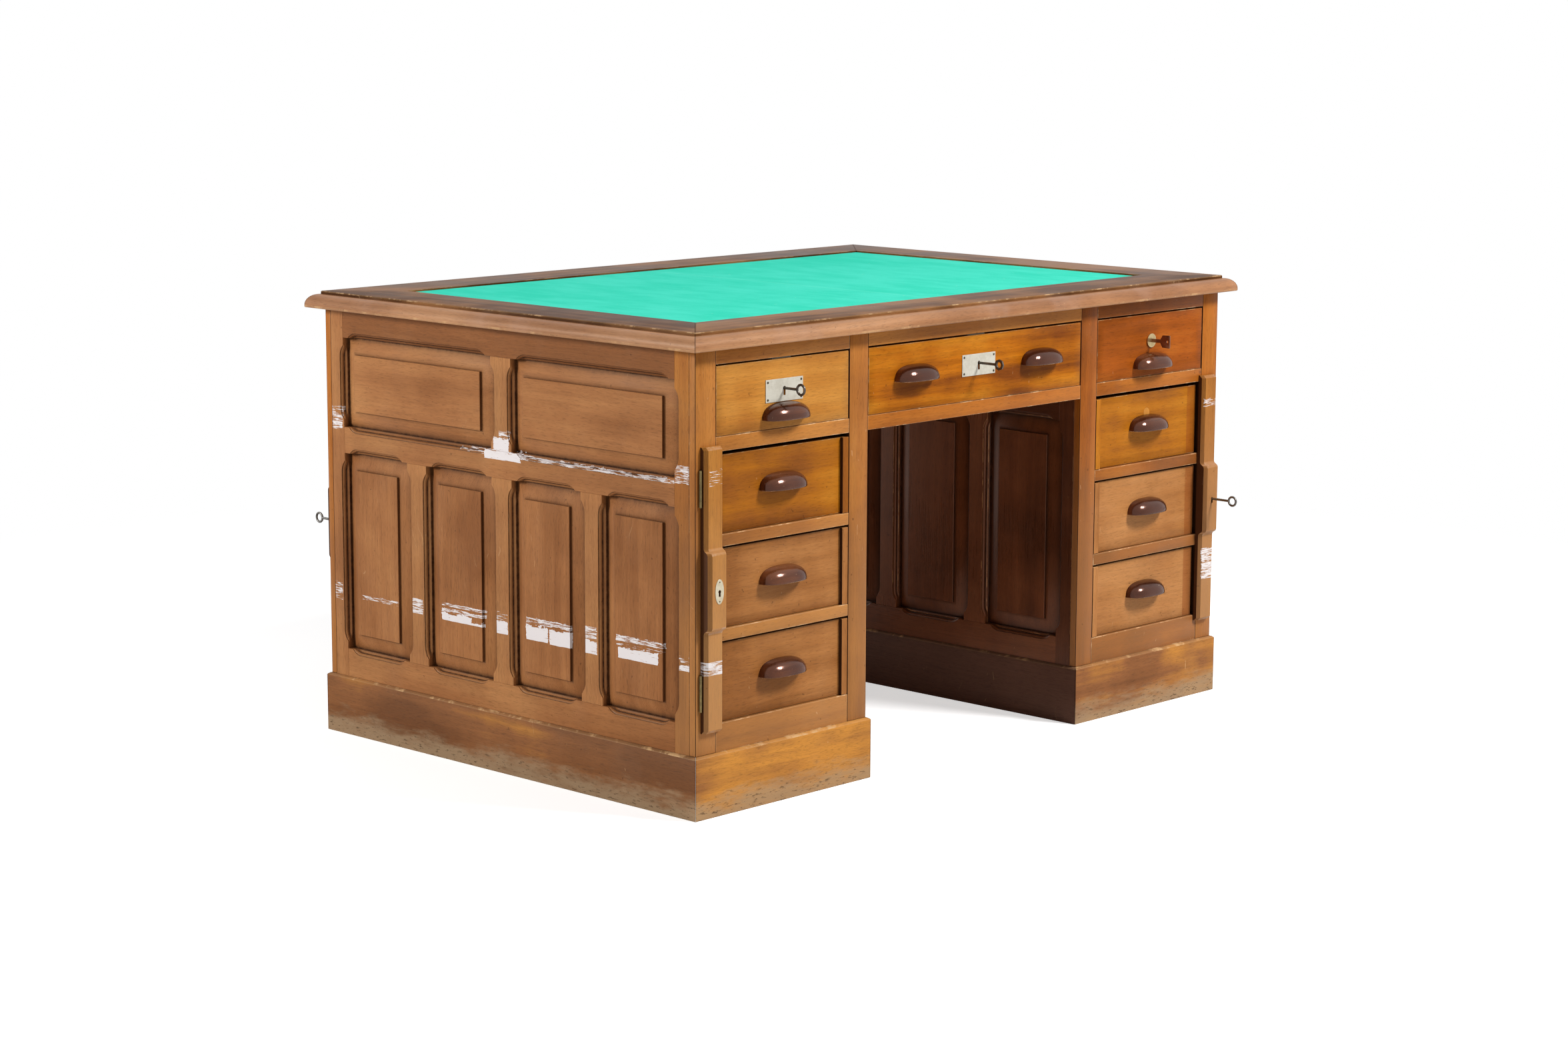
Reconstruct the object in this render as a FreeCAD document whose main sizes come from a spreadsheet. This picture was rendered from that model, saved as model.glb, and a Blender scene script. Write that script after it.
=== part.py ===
import FreeCAD, Part
import math
import os

import Sketcher

# A partners' writing desk: two pedestals of drawers on mitred plinths, a centre drawer over the
# kneehole, a mitred border with a moulded edge round a cloth writing surface, and the same set of
# drawers on the back as on the front. A hinged locking stile stands at the outer end of each
# stack of lower drawers. All sizes are in millimetres.
# The origin is on the floor under the middle of the desk, +X to the right of someone who faces
# the front, -Y towards that person, and +Z up.

os.makedirs("parts", exist_ok=True)
doc = FreeCAD.newDocument("partners_desk")
sheet = doc.addObject("Spreadsheet::Sheet", "Sizes")


class Length:
    """A size together with the sheet expression that gives it."""

    def __init__(self, value, text):
        self.value = value
        self.text = text

    def __add__(self, other):
        return joined(self, "+", other, self.value + value_of(other))

    def __radd__(self, other):
        return joined(other, "+", self, value_of(other) + self.value)

    def __sub__(self, other):
        return joined(self, "-", other, self.value - value_of(other))

    def __rsub__(self, other):
        return joined(other, "-", self, value_of(other) - self.value)

    def __mul__(self, other):
        return joined(self, "*", other, self.value * value_of(other))

    __rmul__ = __mul__

    def __truediv__(self, other):
        return joined(self, "/", other, self.value / value_of(other))


def value_of(item):
    """Plain number of a Length or of a number."""
    return item.value if isinstance(item, Length) else float(item)


def text_of(item):
    """Expression text of a Length or of a number."""
    return item.text if isinstance(item, Length) else repr(item)


def joined(left, sign, right, value):
    return Length(value, "(%s %s %s)" % (text_of(left), sign, text_of(right)))


rows_used = 0


def size(alias, value, note):
    """Put one driving size into the sheet and give back its Length."""
    global rows_used
    rows_used += 1
    sheet.set("A%d" % rows_used, alias)
    sheet.set("B%d" % rows_used, str(value))
    sheet.setAlias("B%d" % rows_used, alias)
    sheet.set("C%d" % rows_used, note)
    return Length(value, "Sizes." + alias)


# Overall sizes
desk_height = size("desk_height", 780, "floor to the top of the border")
carcass_width = size("carcass_width", 1356, "across both pedestals and the kneehole")
carcass_depth = size("carcass_depth", 912, "face of the front frame to face of the back frame")
pedestal_width = size("pedestal_width", 399.5, "one pedestal above its plinth")

# Plinth
plinth_height = size("plinth_height", 103.4, "floor to the carcass")
plinth_step = size("plinth_step", 6.4, "how far the plinth stands out from the carcass")
plinth_bevel = size("plinth_bevel", 2.9, "drop of the bevel on the upper edge")
plinth_thickness = size("plinth_thickness", 24, "board thickness")

# Top
top_thickness = size("top_thickness", 29, "moulded border board")
border_width = size("border_width", 105, "arris of the border to the cloth")
arris_overhang = size("arris_overhang", 5, "carcass face to the arris")
quirk_width = size("quirk_width", 1.5, "flat ledge between the arris and the thumb moulding")
thumb_radius = size("thumb_radius", 19, "round of the thumb moulding")
arris_drop = size("arris_drop", 5.5, "height of the step above the thumb moulding")
lip_round = size("lip_round", 2, "rounding under the thumb moulding")
recess_depth = size("recess_depth", 2.5, "cloth face below the border")
cloth_thickness = size("cloth_thickness", 1.5, "baize with its backing")
cloth_gap = size("cloth_gap", 0.5, "between the cloth and the edge of its recess")

# Face frames
face_thickness = size("face_thickness", 14, "boards of the front and back frames")
face_stile_width = size("face_stile_width", 45.2, "upright of a face frame")
top_rail_height = size("top_rail_height", 25.4, "rail under the top")
upper_rail_height = size("upper_rail_height", 24, "rail under the top drawers")
lower_rail_height = size("lower_rail_height", 20, "rails between the lower drawers")
bottom_rail_height = size("bottom_rail_height", 46.6, "rail on the plinth")
lower_opening_height = size("lower_opening_height", 132.4, "each of the three lower drawer openings")

# Panelled ends and kneehole sides
side_thickness = size("side_thickness", 24, "framing of the ends and kneehole sides")
side_stile_width = size("side_stile_width", 32.5, "upright behind the face frame")
muntin_width = size("muntin_width", 50, "uprights between panels")
end_top_rail = size("end_top_rail", 49, "top rail of an end")
end_middle_rail = size("end_middle_rail", 46, "middle rail of an end")
side_bottom_rail = size("side_bottom_rail", 49.6, "bottom rail of ends and kneehole sides")
lower_panel_height = size("lower_panel_height", 347, "opening of the tall panels of an end")
kneehole_panel_height = size("kneehole_panel_height", 391, "opening of a kneehole panel")
groove_depth = size("groove_depth", 7, "groove for the panels in the framing")
groove_slack = size("groove_slack", 1, "room left for the panel to swell")
panel_tongue = size("panel_tongue", 6, "thickness of a panel at its edge")
panel_back = size("panel_back", 4, "panel's back face in from the back of the framing")
margin_width = size("margin_width", 28.5, "opening edge to the raised field")
margin_rise = size("margin_rise", 8.5, "how far the sloping margin climbs")
field_step = size("field_step", 4.5, "sharp step round the raised field")
margin_ledge = size("margin_ledge", 4, "narrow flat between the margin's top and the step")

# Carcass inside
partition_thickness = size("partition_thickness", 12, "board between the front and back drawers")
floor_thickness = size("floor_thickness", 12, "bottom board of a pedestal")
runner_height = size("runner_height", 18, "runner under a drawer side")
runner_lap = size("runner_lap", 14, "how far a runner reaches under the drawer")
guide_height = size("guide_height", 22, "side guide above the runner")
seat_gap = size("seat_gap", 0.3, "running gap between a drawer and what guides it")

# Drawers
side_gap = size("side_gap", 1, "drawer front to the stile beside it")
top_gap = size("top_gap", 3, "lower drawer front to the rail above")
small_gap = size("small_gap", 1.2, "top drawer front to the rail above")
floor_gap = size("floor_gap", 0.8, "drawer front to the rail below")
front_thickness = size("front_thickness", 20, "drawer front board")
drawer_side = size("drawer_side", 10, "drawer side board")
drawer_back = size("drawer_back", 9, "drawer back board")
drawer_bottom = size("drawer_bottom", 6, "drawer bottom board")
bottom_lift = size("bottom_lift", 9, "drawer bottom above the lower edge of the sides")
side_drop = size("side_drop", 7, "drawer sides below the top edge of the front")
stop_gap = size("stop_gap", 8, "drawer back to the partition")
front_recess = size("front_recess", 6, "lower drawer fronts behind the face frame")
strip_width = size("strip_width", 14, "flush strip on the kneehole end of a lower drawer front")

# Cup pulls
pull_length = size("pull_length", 100, "cup pull, end to end")
pull_reach = size("pull_reach", 28, "how far it stands out")
pull_height = size("pull_height", 27, "lower rim to crown")
pull_wall = size("pull_wall", 6, "wood left round the finger hollow")
pull_below_middle = size("pull_below_middle", 7.7, "lower rim under the middle of the drawer")
pull_spacing = size("pull_spacing", 327, "between the two pulls of the centre drawer")
plate_to_pull = size("plate_to_pull", 0.6, "lock plate above the crown of the pull")

# Drawer locks
plate_width = size("plate_width", 86, "lock plate")
plate_height = size("plate_height", 37, "lock plate")
plate_thickness = size("plate_thickness", 1.2, "lock plate")
plate_height_up = size("plate_height_up", 43, "lower edge of the lock plate above the opening")
plate_screw_inset = size("plate_screw_inset", 4.5, "screw centre in from the plate's edges")
screw_head_radius = size("screw_head_radius", 1.9, "lock plate screw head")
screw_shank_radius = size("screw_shank_radius", 1.1, "lock plate screw shank")
screw_length = size("screw_length", 10, "lock plate screw")
screw_proud = size("screw_proud", 0.5, "screw head above the plate")
screw_gap = size("screw_gap", 0.05, "screw shank to its hole")
case_width = size("case_width", 44, "lock case")
case_wall = size("case_wall", 1.5, "lock case plates")
case_front = size("case_front", 6, "wood left in front of the lock case")
case_below_key = size("case_below_key", 18, "lock case below the key's axis")
bolt_width = size("bolt_width", 13, "lock bolt")
bolt_thickness = size("bolt_thickness", 4, "lock bolt")
bolt_length = size("bolt_length", 24, "lock bolt")
bolt_throw = size("bolt_throw", 8, "travel of a lock bolt")
bolt_gap = size("bolt_gap", 0.3, "bolt to the plates that guide it")
mortise_gap = size("mortise_gap", 1, "room round a bolt in its mortise")
key_above_plate = size("key_above_plate", 21, "key's axis above the lower edge of the plate")

# Keys
shank_radius = size("shank_radius", 2.2, "key shank")
keyhole_gap = size("keyhole_gap", 0.3, "key shank to the round of the keyhole")
bit_height = size("bit_height", 7, "key bit below the shank's axis")
bit_thickness = size("bit_thickness", 2.2, "key bit")
bit_length = size("bit_length", 4, "key bit along the shank")
bit_gap = size("bit_gap", 0.4, "key bit to the sides of the keyhole slot")
ring_radius = size("ring_radius", 8, "middle of the ring of a key bow")
ring_wire = size("ring_wire", 2, "radius of the metal of a key bow")
left_key_out = size("left_key_out", 37, "drawer front to the middle of the left key's bow")
centre_key_out = size("centre_key_out", 46, "drawer front to the middle of the centre key's bow")
stile_key_out = size("stile_key_out", 46, "stile face to the middle of the key's bow")
bow_radius = size("bow_radius", 9.5, "octagonal bow of the centre key")
bow_hole_radius = size("bow_hole_radius", 5, "hole in the octagonal and the flat bow")
bow_thickness = size("bow_thickness", 3.2, "octagonal bow")
cylinder_radius = size("cylinder_radius", 10.5, "cylinder lock barrel")
cylinder_rim_radius = size("cylinder_rim_radius", 12.5, "rim of the cylinder lock")
cylinder_proud = size("cylinder_proud", 2.5, "rim above the drawer front")
cylinder_length = size("cylinder_length", 26, "barrel behind the rim")
barrel_gap = size("barrel_gap", 0.05, "barrel to its bore in the drawer front")
plug_radius = size("plug_radius", 6, "turning plug of the cylinder lock")
plug_gap = size("plug_gap", 0.05, "plug to its bore")
blade_height = size("blade_height", 6.5, "flat key's blade")
blade_thickness = size("blade_thickness", 1.8, "flat key's blade")
flat_key_out = size("flat_key_out", 33, "drawer front to the middle of the flat key's bow")
flat_bow_radius = size("flat_bow_radius", 12, "six-sided bow of the flat key")
flat_bow_thickness = size("flat_bow_thickness", 2.4, "bow of the flat key")

# Locking stiles
stile_inset = size("stile_inset", 11, "outer side in from the end of the carcass")
stile_width = size("stile_width", 41.5, "across a locking stile")
stile_thickness = size("stile_thickness", 12.5, "thickness at its ends")
stile_swell = size("stile_swell", 9, "extra thickness of the middle")
stile_lap_low = size("stile_lap_low", 10.2, "lap over the bottom rail")
stile_lap_high = size("stile_lap_high", 11.3, "lap over the rail above the lower drawers")
swell_length = size("swell_length", 140, "foot of one shoulder to foot of the other")
shoulder_height = size("shoulder_height", 13, "ogee shoulder between thin and thick")
stile_bevel = size("stile_bevel", 5, "bevels round the face")
stile_gap = size("stile_gap", 0.3, "back of the closed stile to the face frame")
drawer_stile_gap = size("drawer_stile_gap", 1, "lower drawer front to the stile's inner side")
stile_case_width = size("stile_case_width", 30, "lock case in the stile")
stile_case_height = size("stile_case_height", 62, "lock case in the stile")
stile_case_depth = size("stile_case_depth", 14, "lock case in the stile")
stile_bolt_down = size("stile_bolt_down", 3, "lower end of the bolt under the key's axis")
staple_length = size("staple_length", 9, "staple out of the face frame")
staple_width = size("staple_width", 20, "staple tongue")
staple_height = size("staple_height", 3, "staple tongue")
staple_foot = size("staple_foot", 28, "staple's foot plate, up and down")
staple_foot_thickness = size("staple_foot_thickness", 1.5, "staple's foot plate")
staple_play = size("staple_play", 1, "parked bolt to the staple, and round the bolt in its eye")
escutcheon_width = size("escutcheon_width", 19, "oval keyhole plate")
escutcheon_height = size("escutcheon_height", 40, "oval keyhole plate")
escutcheon_thickness = size("escutcheon_thickness", 0.9, "oval keyhole plate")

# Hinges of the locking stiles
hinge_height = size("hinge_height", 59, "butt hinge")
hinge_end = size("hinge_end", 36, "end of the stile to the nearer hinge")
knuckle_radius = size("knuckle_radius", 2.4, "hinge knuckle")
hinge_pin_radius = size("hinge_pin_radius", 1.1, "hinge pin")
hinge_pin_gap = size("hinge_pin_gap", 0.05, "pin to the bore of the knuckles")
knuckle_gap = size("knuckle_gap", 0.2, "between neighbouring knuckles")
leaf_width = size("leaf_width", 20, "hinge leaf from the pin's axis")
leaf_thickness = size("leaf_thickness", 1.2, "hinge leaf")
knuckle_side_gap = size("knuckle_side_gap", 0.3, "knuckle to the side of the stile")

cut_over = size("cut_over", 2, "how far a cutting tool runs past what it cuts")
same_place = size("same_place", 0.01, "edges closer than this lie in one plane")

# Counts
LOWER_DRAWERS = 3
UPPER_PANELS = 2
TALL_PANELS = 4
KNUCKLES = 5
HINGES = 2
OCTAGON = 8
HEXAGON = 6
HALF_TURN = 180

# Levels and planes that several pieces share
carcass_top = desk_height - top_thickness
front_face = 0 - carcass_depth / 2
inside_face = front_face + face_thickness
bottom_opening = plinth_height + bottom_rail_height
level_pitch = lower_opening_height + lower_rail_height
upper_rail = bottom_opening + LOWER_DRAWERS * level_pitch - lower_rail_height
top_opening = upper_rail + upper_rail_height
top_opening_height = carcass_top - top_rail_height - top_opening
kneehole_width = carcass_width - 2 * pedestal_width
lower_start = stile_inset + stile_width + drawer_stile_gap
top_start = face_stile_width + side_gap
drawer_end = pedestal_width - face_stile_width - side_gap
pedestal_middle = pedestal_width / 2
drawer_reach = carcass_depth / 2 - partition_thickness / 2 - stop_gap
keyhole_radius = shank_radius + keyhole_gap
plate_low = top_opening + plate_height_up
key_level = plate_low + key_above_plate
stile_low = bottom_opening - stile_lap_low
stile_high = upper_rail + stile_lap_high
stile_length = stile_high - stile_low
stile_middle = stile_low + stile_length / 2
swell_thickness = stile_thickness + stile_swell
stile_key_across = stile_inset + stile_width / 2
hinge_axis_across = stile_inset - knuckle_side_gap - knuckle_radius
hinge_axis_out = front_face - knuckle_radius - leaf_thickness / 2


def bind(item, **sizes):
    """Set each named property of item from a Length."""
    for name, length in sizes.items():
        item.setExpression(name, text_of(length))


def place(item, at):
    """Bind the three coordinates of item's place."""
    for axis, length in zip("xyz", at):
        item.setExpression(".Placement.Base." + axis, text_of(length))


def box(name, extent, at):
    """A board or block, extent and lower corner given along X, Y and Z."""
    item = doc.addObject("Part::Box", name)
    bind(item, Length=extent[0], Width=extent[1], Height=extent[2])
    place(item, at)
    return item


def turned(item, axis, angle):
    """Turn item about its own place."""
    item.Placement = FreeCAD.Placement(item.Placement.Base, FreeCAD.Rotation(axis, angle))


ALONG_X = FreeCAD.Vector(1, 0, 0)
ALONG_Z = FreeCAD.Vector(0, 0, 1)
ALONG_Y = FreeCAD.Vector(0, 1, 0)


def post(name, radius, length, at):
    """A cylinder that stands up from its place."""
    item = doc.addObject("Part::Cylinder", name)
    bind(item, Radius=radius, Height=length)
    place(item, at)
    return item


def rod(name, radius, length, at):
    """A cylinder that runs from its place along +Y."""
    item = post(name, radius, length, at)
    turned(item, ALONG_X, -90)
    return item


def cut(name, base, tools):
    """Base with all tools taken away."""
    item = doc.addObject("Part::Cut", name)
    item.Base = base
    item.Tool = tools[0] if len(tools) == 1 else fused(name + "_tools", tools)
    return item


def fused(name, items):
    item = doc.addObject("Part::MultiFuse", name)
    item.Shapes = items
    return item


def gathered(name, items):
    """Several solids kept apart under one name."""
    item = doc.addObject("Part::Compound", name)
    item.Links = items
    return item


nodes = []


def node(name, items, back=False):
    """File one sub-part; back gives the copy turned half round the middle of the desk."""
    item = gathered(name, items)
    item.Label = name
    if back:
        item.Placement = FreeCAD.Placement(FreeCAD.Vector(0, 0, 0), FreeCAD.Rotation(ALONG_Z, HALF_TURN))
    nodes.append(item)
    return item


def from_end(side, offset, width):
    """X of the lower corner of a piece set in from the left or the right end of the carcass."""
    if side == "left":
        return offset - carcass_width / 2
    return carcass_width / 2 - offset - width


def sketch_on(body, plane, corners_list):
    """A sketch of closed outlines on one of the body's own origin planes.

    Each corner is (across, up) for a straight run to the next corner, or
    (across, up, (centre across, centre up)) for an arc to it. Corners are zero or positive.
    """
    sketch = body.newObject("Sketcher::SketchObject", body.Name + "_" + plane[:2].lower())
    sketch.AttachmentSupport = [(f, "") for f in body.Origin.OriginFeatures if f.Role == plane]
    sketch.MapMode = "FlatFace"
    for corners in corners_list:
        add_outline(sketch, corners)
    return sketch


def add_outline(sketch, corners):
    first = sketch.GeometryCount
    ends = []
    for index, corner in enumerate(corners):
        following = corners[(index + 1) % len(corners)]
        start = FreeCAD.Vector(value_of(corner[0]), value_of(corner[1]), 0)
        end = FreeCAD.Vector(value_of(following[0]), value_of(following[1]), 0)
        if len(corner) == 2:
            sketch.addGeometry(Part.LineSegment(start, end), False)
            ends.append((1, 2))
            continue
        centre = FreeCAD.Vector(value_of(corner[2][0]), value_of(corner[2][1]), 0)
        circle = Part.Circle(centre, ALONG_Z, (start - centre).Length)
        angles = [math.atan2(p.y - centre.y, p.x - centre.x) for p in (start, end)]
        forward = (start - centre).cross(end - centre).z > 0
        if not forward:
            angles.reverse()
        sketch.addGeometry(Part.ArcOfCircle(circle, angles[0], angles[1]), False)
        ends.append((1, 2) if forward else (2, 1))
    for index, corner in enumerate(corners):
        here = first + index
        after = first + (index + 1) % len(corners)
        after_start = ends[(index + 1) % len(corners)][0]
        sketch.addConstraint(Sketcher.Constraint("Coincident", here, ends[index][1], after, after_start))
        fix_point(sketch, here, ends[index][0], corner[0], corner[1])
        if len(corner) == 3:
            fix_coordinate(sketch, "DistanceX", -2, here, 3, corner[2][0])


def fix_point(sketch, geometry, point, across, up):
    fix_coordinate(sketch, "DistanceX", -2, geometry, point, across)
    fix_coordinate(sketch, "DistanceY", -1, geometry, point, up)


def fix_coordinate(sketch, kind, axis, geometry, point, length):
    """Tie one coordinate of a sketch point to a size, or to the axis when it is zero."""
    if not isinstance(length, Length):
        sketch.addConstraint(Sketcher.Constraint("PointOnObject", geometry, point, axis))
        return
    number = sketch.addConstraint(
        Sketcher.Constraint(kind, -1, 1, geometry, point, length.value))
    sketch.setExpression("Constraints[%d]" % number, length.text)


def mitred_run(name, corners, length, width, height, at, angle):
    """A moulded board with both ends mitred, its outer edge on the line it starts from.

    The board runs along its own X from its place; its section lies in Y (inwards) and Z (up).
    """
    body = doc.addObject("PartDesign::Body", name)
    section = sketch_on(body, "YZ_Plane", [corners])
    pad = body.newObject("PartDesign::Pad", name + "_board")
    pad.Profile = section
    bind(pad, Length=length)
    reach = width + cut_over
    near = [(0, 0), (reach, reach), (0, reach)]
    far = [(length, 0), (length, reach), (length - reach, reach)]
    mitre = sketch_on(body, "XY_Plane", [near, far])
    pocket = body.newObject("PartDesign::Pocket", name + "_mitre")
    pocket.Profile = mitre
    pocket.Reversed = True
    bind(pocket, Length=height + cut_over)
    body.Tip = pocket
    body.Placement = FreeCAD.Placement(FreeCAD.Vector(0, 0, 0), FreeCAD.Rotation(ALONG_Z, angle))
    place(body, at)
    return body


def mitred_ring(name, corners, width, height, low, high, base):
    """Four mitred runs round the rectangle from low to high, standing at the level base."""
    along = high[0] - low[0]
    deep = high[1] - low[1]
    starts = [(low[0], low[1]), (high[0], low[1]), (high[0], high[1]), (low[0], high[1])]
    names = ["front", "right", "back", "left"]
    runs = []
    for turn, (start, side) in enumerate(zip(starts, names)):
        length = along if turn % 2 == 0 else deep
        at = (start[0], start[1], base)
        runs.append(mitred_run(name + "_" + side, corners, length, width, height, at, 90 * turn))
    return runs


# The top: a mitred border, the moulding glued along its edge, the board that it frames, the cloth
moulding_reach = quirk_width + thumb_radius
moulding_height = top_thickness - arris_drop
lip_height = moulding_height - thumb_radius
border_section = [
    (0, 0),
    (border_width, 0),
    (border_width, top_thickness),
    (0, top_thickness),
]
moulding_section = [
    (lip_round, 0),
    (moulding_reach, 0),
    (moulding_reach, moulding_height),
    (thumb_radius, moulding_height, (thumb_radius, lip_height)),
    (0, lip_height),
    (0, lip_round, (lip_round, lip_round)),
]
top_low = (0 - carcass_width / 2 - arris_overhang, front_face - arris_overhang)
top_high = (carcass_width / 2 + arris_overhang, carcass_depth / 2 + arris_overhang)
edge_low = (top_low[0] - moulding_reach, top_low[1] - moulding_reach)
edge_high = (top_high[0] + moulding_reach, top_high[1] + moulding_reach)
node("top_border", mitred_ring("border", border_section, border_width, top_thickness,
                               top_low, top_high, carcass_top))
node("edge_moulding", mitred_ring("moulding", moulding_section, moulding_reach, moulding_height,
                                  edge_low, edge_high, carcass_top))

field_low = (top_low[0] + border_width, top_low[1] + border_width)
field_width = top_high[0] - top_low[0] - 2 * border_width
field_depth = top_high[1] - top_low[1] - 2 * border_width
board_thickness = top_thickness - recess_depth - cloth_thickness
node("top_board", [box("framed_board", (field_width, field_depth, board_thickness),
                       (field_low[0], field_low[1], carcass_top))])
node("writing_cloth", [box("baize", (field_width - 2 * cloth_gap, field_depth - 2 * cloth_gap,
                                     cloth_thickness),
                           (field_low[0] + cloth_gap, field_low[1] + cloth_gap,
                            carcass_top + board_thickness))])


# The plinths: four mitred boards under each pedestal
plinth_section = [
    (0, 0),
    (plinth_thickness, 0),
    (plinth_thickness, plinth_height),
    (plinth_step, plinth_height),
    (0, plinth_height - plinth_bevel),
]


def plinth(side):
    start = from_end(side, 0, pedestal_width)
    low = (start - plinth_step, front_face - plinth_step)
    high = (start + pedestal_width + plinth_step, carcass_depth / 2 + plinth_step)
    return mitred_ring(side + "_plinth", plinth_section, plinth_thickness, plinth_height, low, high, 0)


node("plinths", plinth("left") + plinth("right"))


# Panelled ends and kneehole sides
def panelled_side(name, at_x, outwards, rows, top_rail):
    """Framing and raised panels of an end or a kneehole side.

    at_x is the X of the lower corner, outwards is -1 where the show face looks along -X, and
    rows are (level, height, count) for each row of panels.
    """
    deep = carcass_depth - 2 * face_thickness
    run = deep - 2 * side_stile_width
    boards = [
        box(name + "_front_stile", (side_thickness, side_stile_width, carcass_top - plinth_height),
            (at_x, inside_face, plinth_height)),
        box(name + "_back_stile", (side_thickness, side_stile_width, carcass_top - plinth_height),
            (at_x, 0 - inside_face - side_stile_width, plinth_height)),
        box(name + "_bottom_rail", (side_thickness, run, side_bottom_rail),
            (at_x, inside_face + side_stile_width, plinth_height)),
        box(name + "_top_rail", (side_thickness, run, top_rail),
            (at_x, inside_face + side_stile_width, carcass_top - top_rail)),
    ]
    if len(rows) > 1:
        boards.append(box(name + "_middle_rail", (side_thickness, run, end_middle_rail),
                          (at_x, inside_face + side_stile_width, rows[0][0] + rows[0][1])))
    grooves = []
    panels = []
    for level, height, count in rows:
        wide = (run - (count - 1) * muntin_width) / count
        for index in range(count):
            label = "%s_%s%d" % (name, "tall" if count == TALL_PANELS else "upper", index + 1)
            at_y = inside_face + side_stile_width + index * (wide + muntin_width)
            if index:
                boards.append(box(label + "_muntin", (side_thickness, muntin_width, height),
                                  (at_x, at_y - muntin_width, level)))
            panels.append(raised_panel(label, at_x, outwards, at_y, wide, level, height))
            grooves.append(box(label + "_groove",
                               (panel_tongue, wide + 2 * groove_depth, height + 2 * groove_depth),
                               (tongue_start(at_x, outwards), at_y - groove_depth,
                                level - groove_depth)))
    return cut(name + "_framing", gathered(name + "_boards", boards), grooves), panels


def tongue_start(at_x, outwards):
    """X of the lower face of a panel's tongue."""
    if outwards < 0:
        return at_x + side_thickness - panel_back - panel_tongue
    return at_x + panel_back


def raised_panel(label, at_x, outwards, at_y, wide, level, height):
    """A panel with its tongue, a sloping margin and a raised field, as one solid."""
    lap = groove_depth - groove_slack
    tongue_x = tongue_start(at_x, outwards)
    tongue = box(label + "_tongue", (panel_tongue, wide + 2 * lap, height + 2 * lap),
                 (tongue_x, at_y - lap, level - lap))
    margin = doc.addObject("Part::Wedge", label + "_margin")
    shelf = margin_width - margin_ledge
    bind(margin, Xmin=0, Xmax=wide, Zmin=0, Zmax=height, Ymin=0, Ymax=margin_rise,
         X2min=shelf, X2max=wide - shelf, Z2min=shelf, Z2max=height - shelf)
    quarter = -90 if outwards > 0 else 90
    turned(margin, ALONG_Z, quarter)
    if outwards > 0:
        place(margin, (tongue_x + panel_tongue, at_y + wide, level))
        field_x = tongue_x + panel_tongue + margin_rise
    else:
        place(margin, (tongue_x, at_y, level))
        field_x = tongue_x - margin_rise - field_step
    field = box(label + "_field", (field_step, wide - 2 * margin_width, height - 2 * margin_width),
                (field_x, at_y + margin_width, level + margin_width))
    return fused(label + "_panel", [tongue, margin, field])


tall_level = plinth_height + side_bottom_rail
upper_level = tall_level + lower_panel_height + end_middle_rail
end_rows = [(tall_level, lower_panel_height, TALL_PANELS),
            (upper_level, carcass_top - end_top_rail - upper_level, UPPER_PANELS)]
kneehole_rows = [(tall_level, kneehole_panel_height, TALL_PANELS)]
kneehole_top_rail = carcass_top - tall_level - kneehole_panel_height

for side, outwards in (("left", -1), ("right", 1)):
    end_x = from_end(side, 0, side_thickness)
    framing, panels = panelled_side(side + "_end", end_x, outwards, end_rows, end_top_rail)
    node(side + "_end", [framing] + panels)
    inner_x = from_end(side, pedestal_width - side_thickness, side_thickness)
    framing, panels = panelled_side(side + "_kneehole_side", inner_x, -outwards, kneehole_rows,
                                    kneehole_top_rail)
    node(side + "_kneehole_side", [framing] + panels)


# Hinge places of a locking stile, as heights of the lower end of each hinge
hinge_levels = [stile_low + hinge_end, stile_high - hinge_end - hinge_height]
knuckle_pitch = hinge_height / KNUCKLES
stile_key_level = stile_middle
staple_level = stile_key_level - stile_bolt_down + bolt_length + staple_play


# The face frames, with the mortises for hinge leaves, staples and lock bolts
def frame_boards(name):
    boards = []
    rail_width = pedestal_width - 2 * face_stile_width
    for side in ("left", "right"):
        for label, offset in (("outer", 0), ("inner", pedestal_width - face_stile_width)):
            boards.append(box("%s_%s_%s_stile" % (name, side, label),
                              (face_stile_width, face_thickness, carcass_top - plinth_height),
                              (from_end(side, offset, face_stile_width), front_face, plinth_height)))
        rail_x = from_end(side, face_stile_width, rail_width)
        levels = [(plinth_height, bottom_rail_height), (upper_rail, upper_rail_height),
                  (carcass_top - top_rail_height, top_rail_height)]
        for index in range(1, LOWER_DRAWERS):
            levels.append((bottom_opening + index * level_pitch - lower_rail_height,
                           lower_rail_height))
        for index, (level, height) in enumerate(levels):
            boards.append(box("%s_%s_rail%d" % (name, side, index + 1),
                              (rail_width, face_thickness, height), (rail_x, front_face, level)))
    for label, level, height in (("kneehole_rail", upper_rail, upper_rail_height),
                                 ("centre_top_rail", carcass_top - top_rail_height, top_rail_height)):
        boards.append(box(name + "_" + label, (kneehole_width, face_thickness, height),
                          (0 - kneehole_width / 2, front_face, level)))
    return gathered(name + "_boards", boards)


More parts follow.
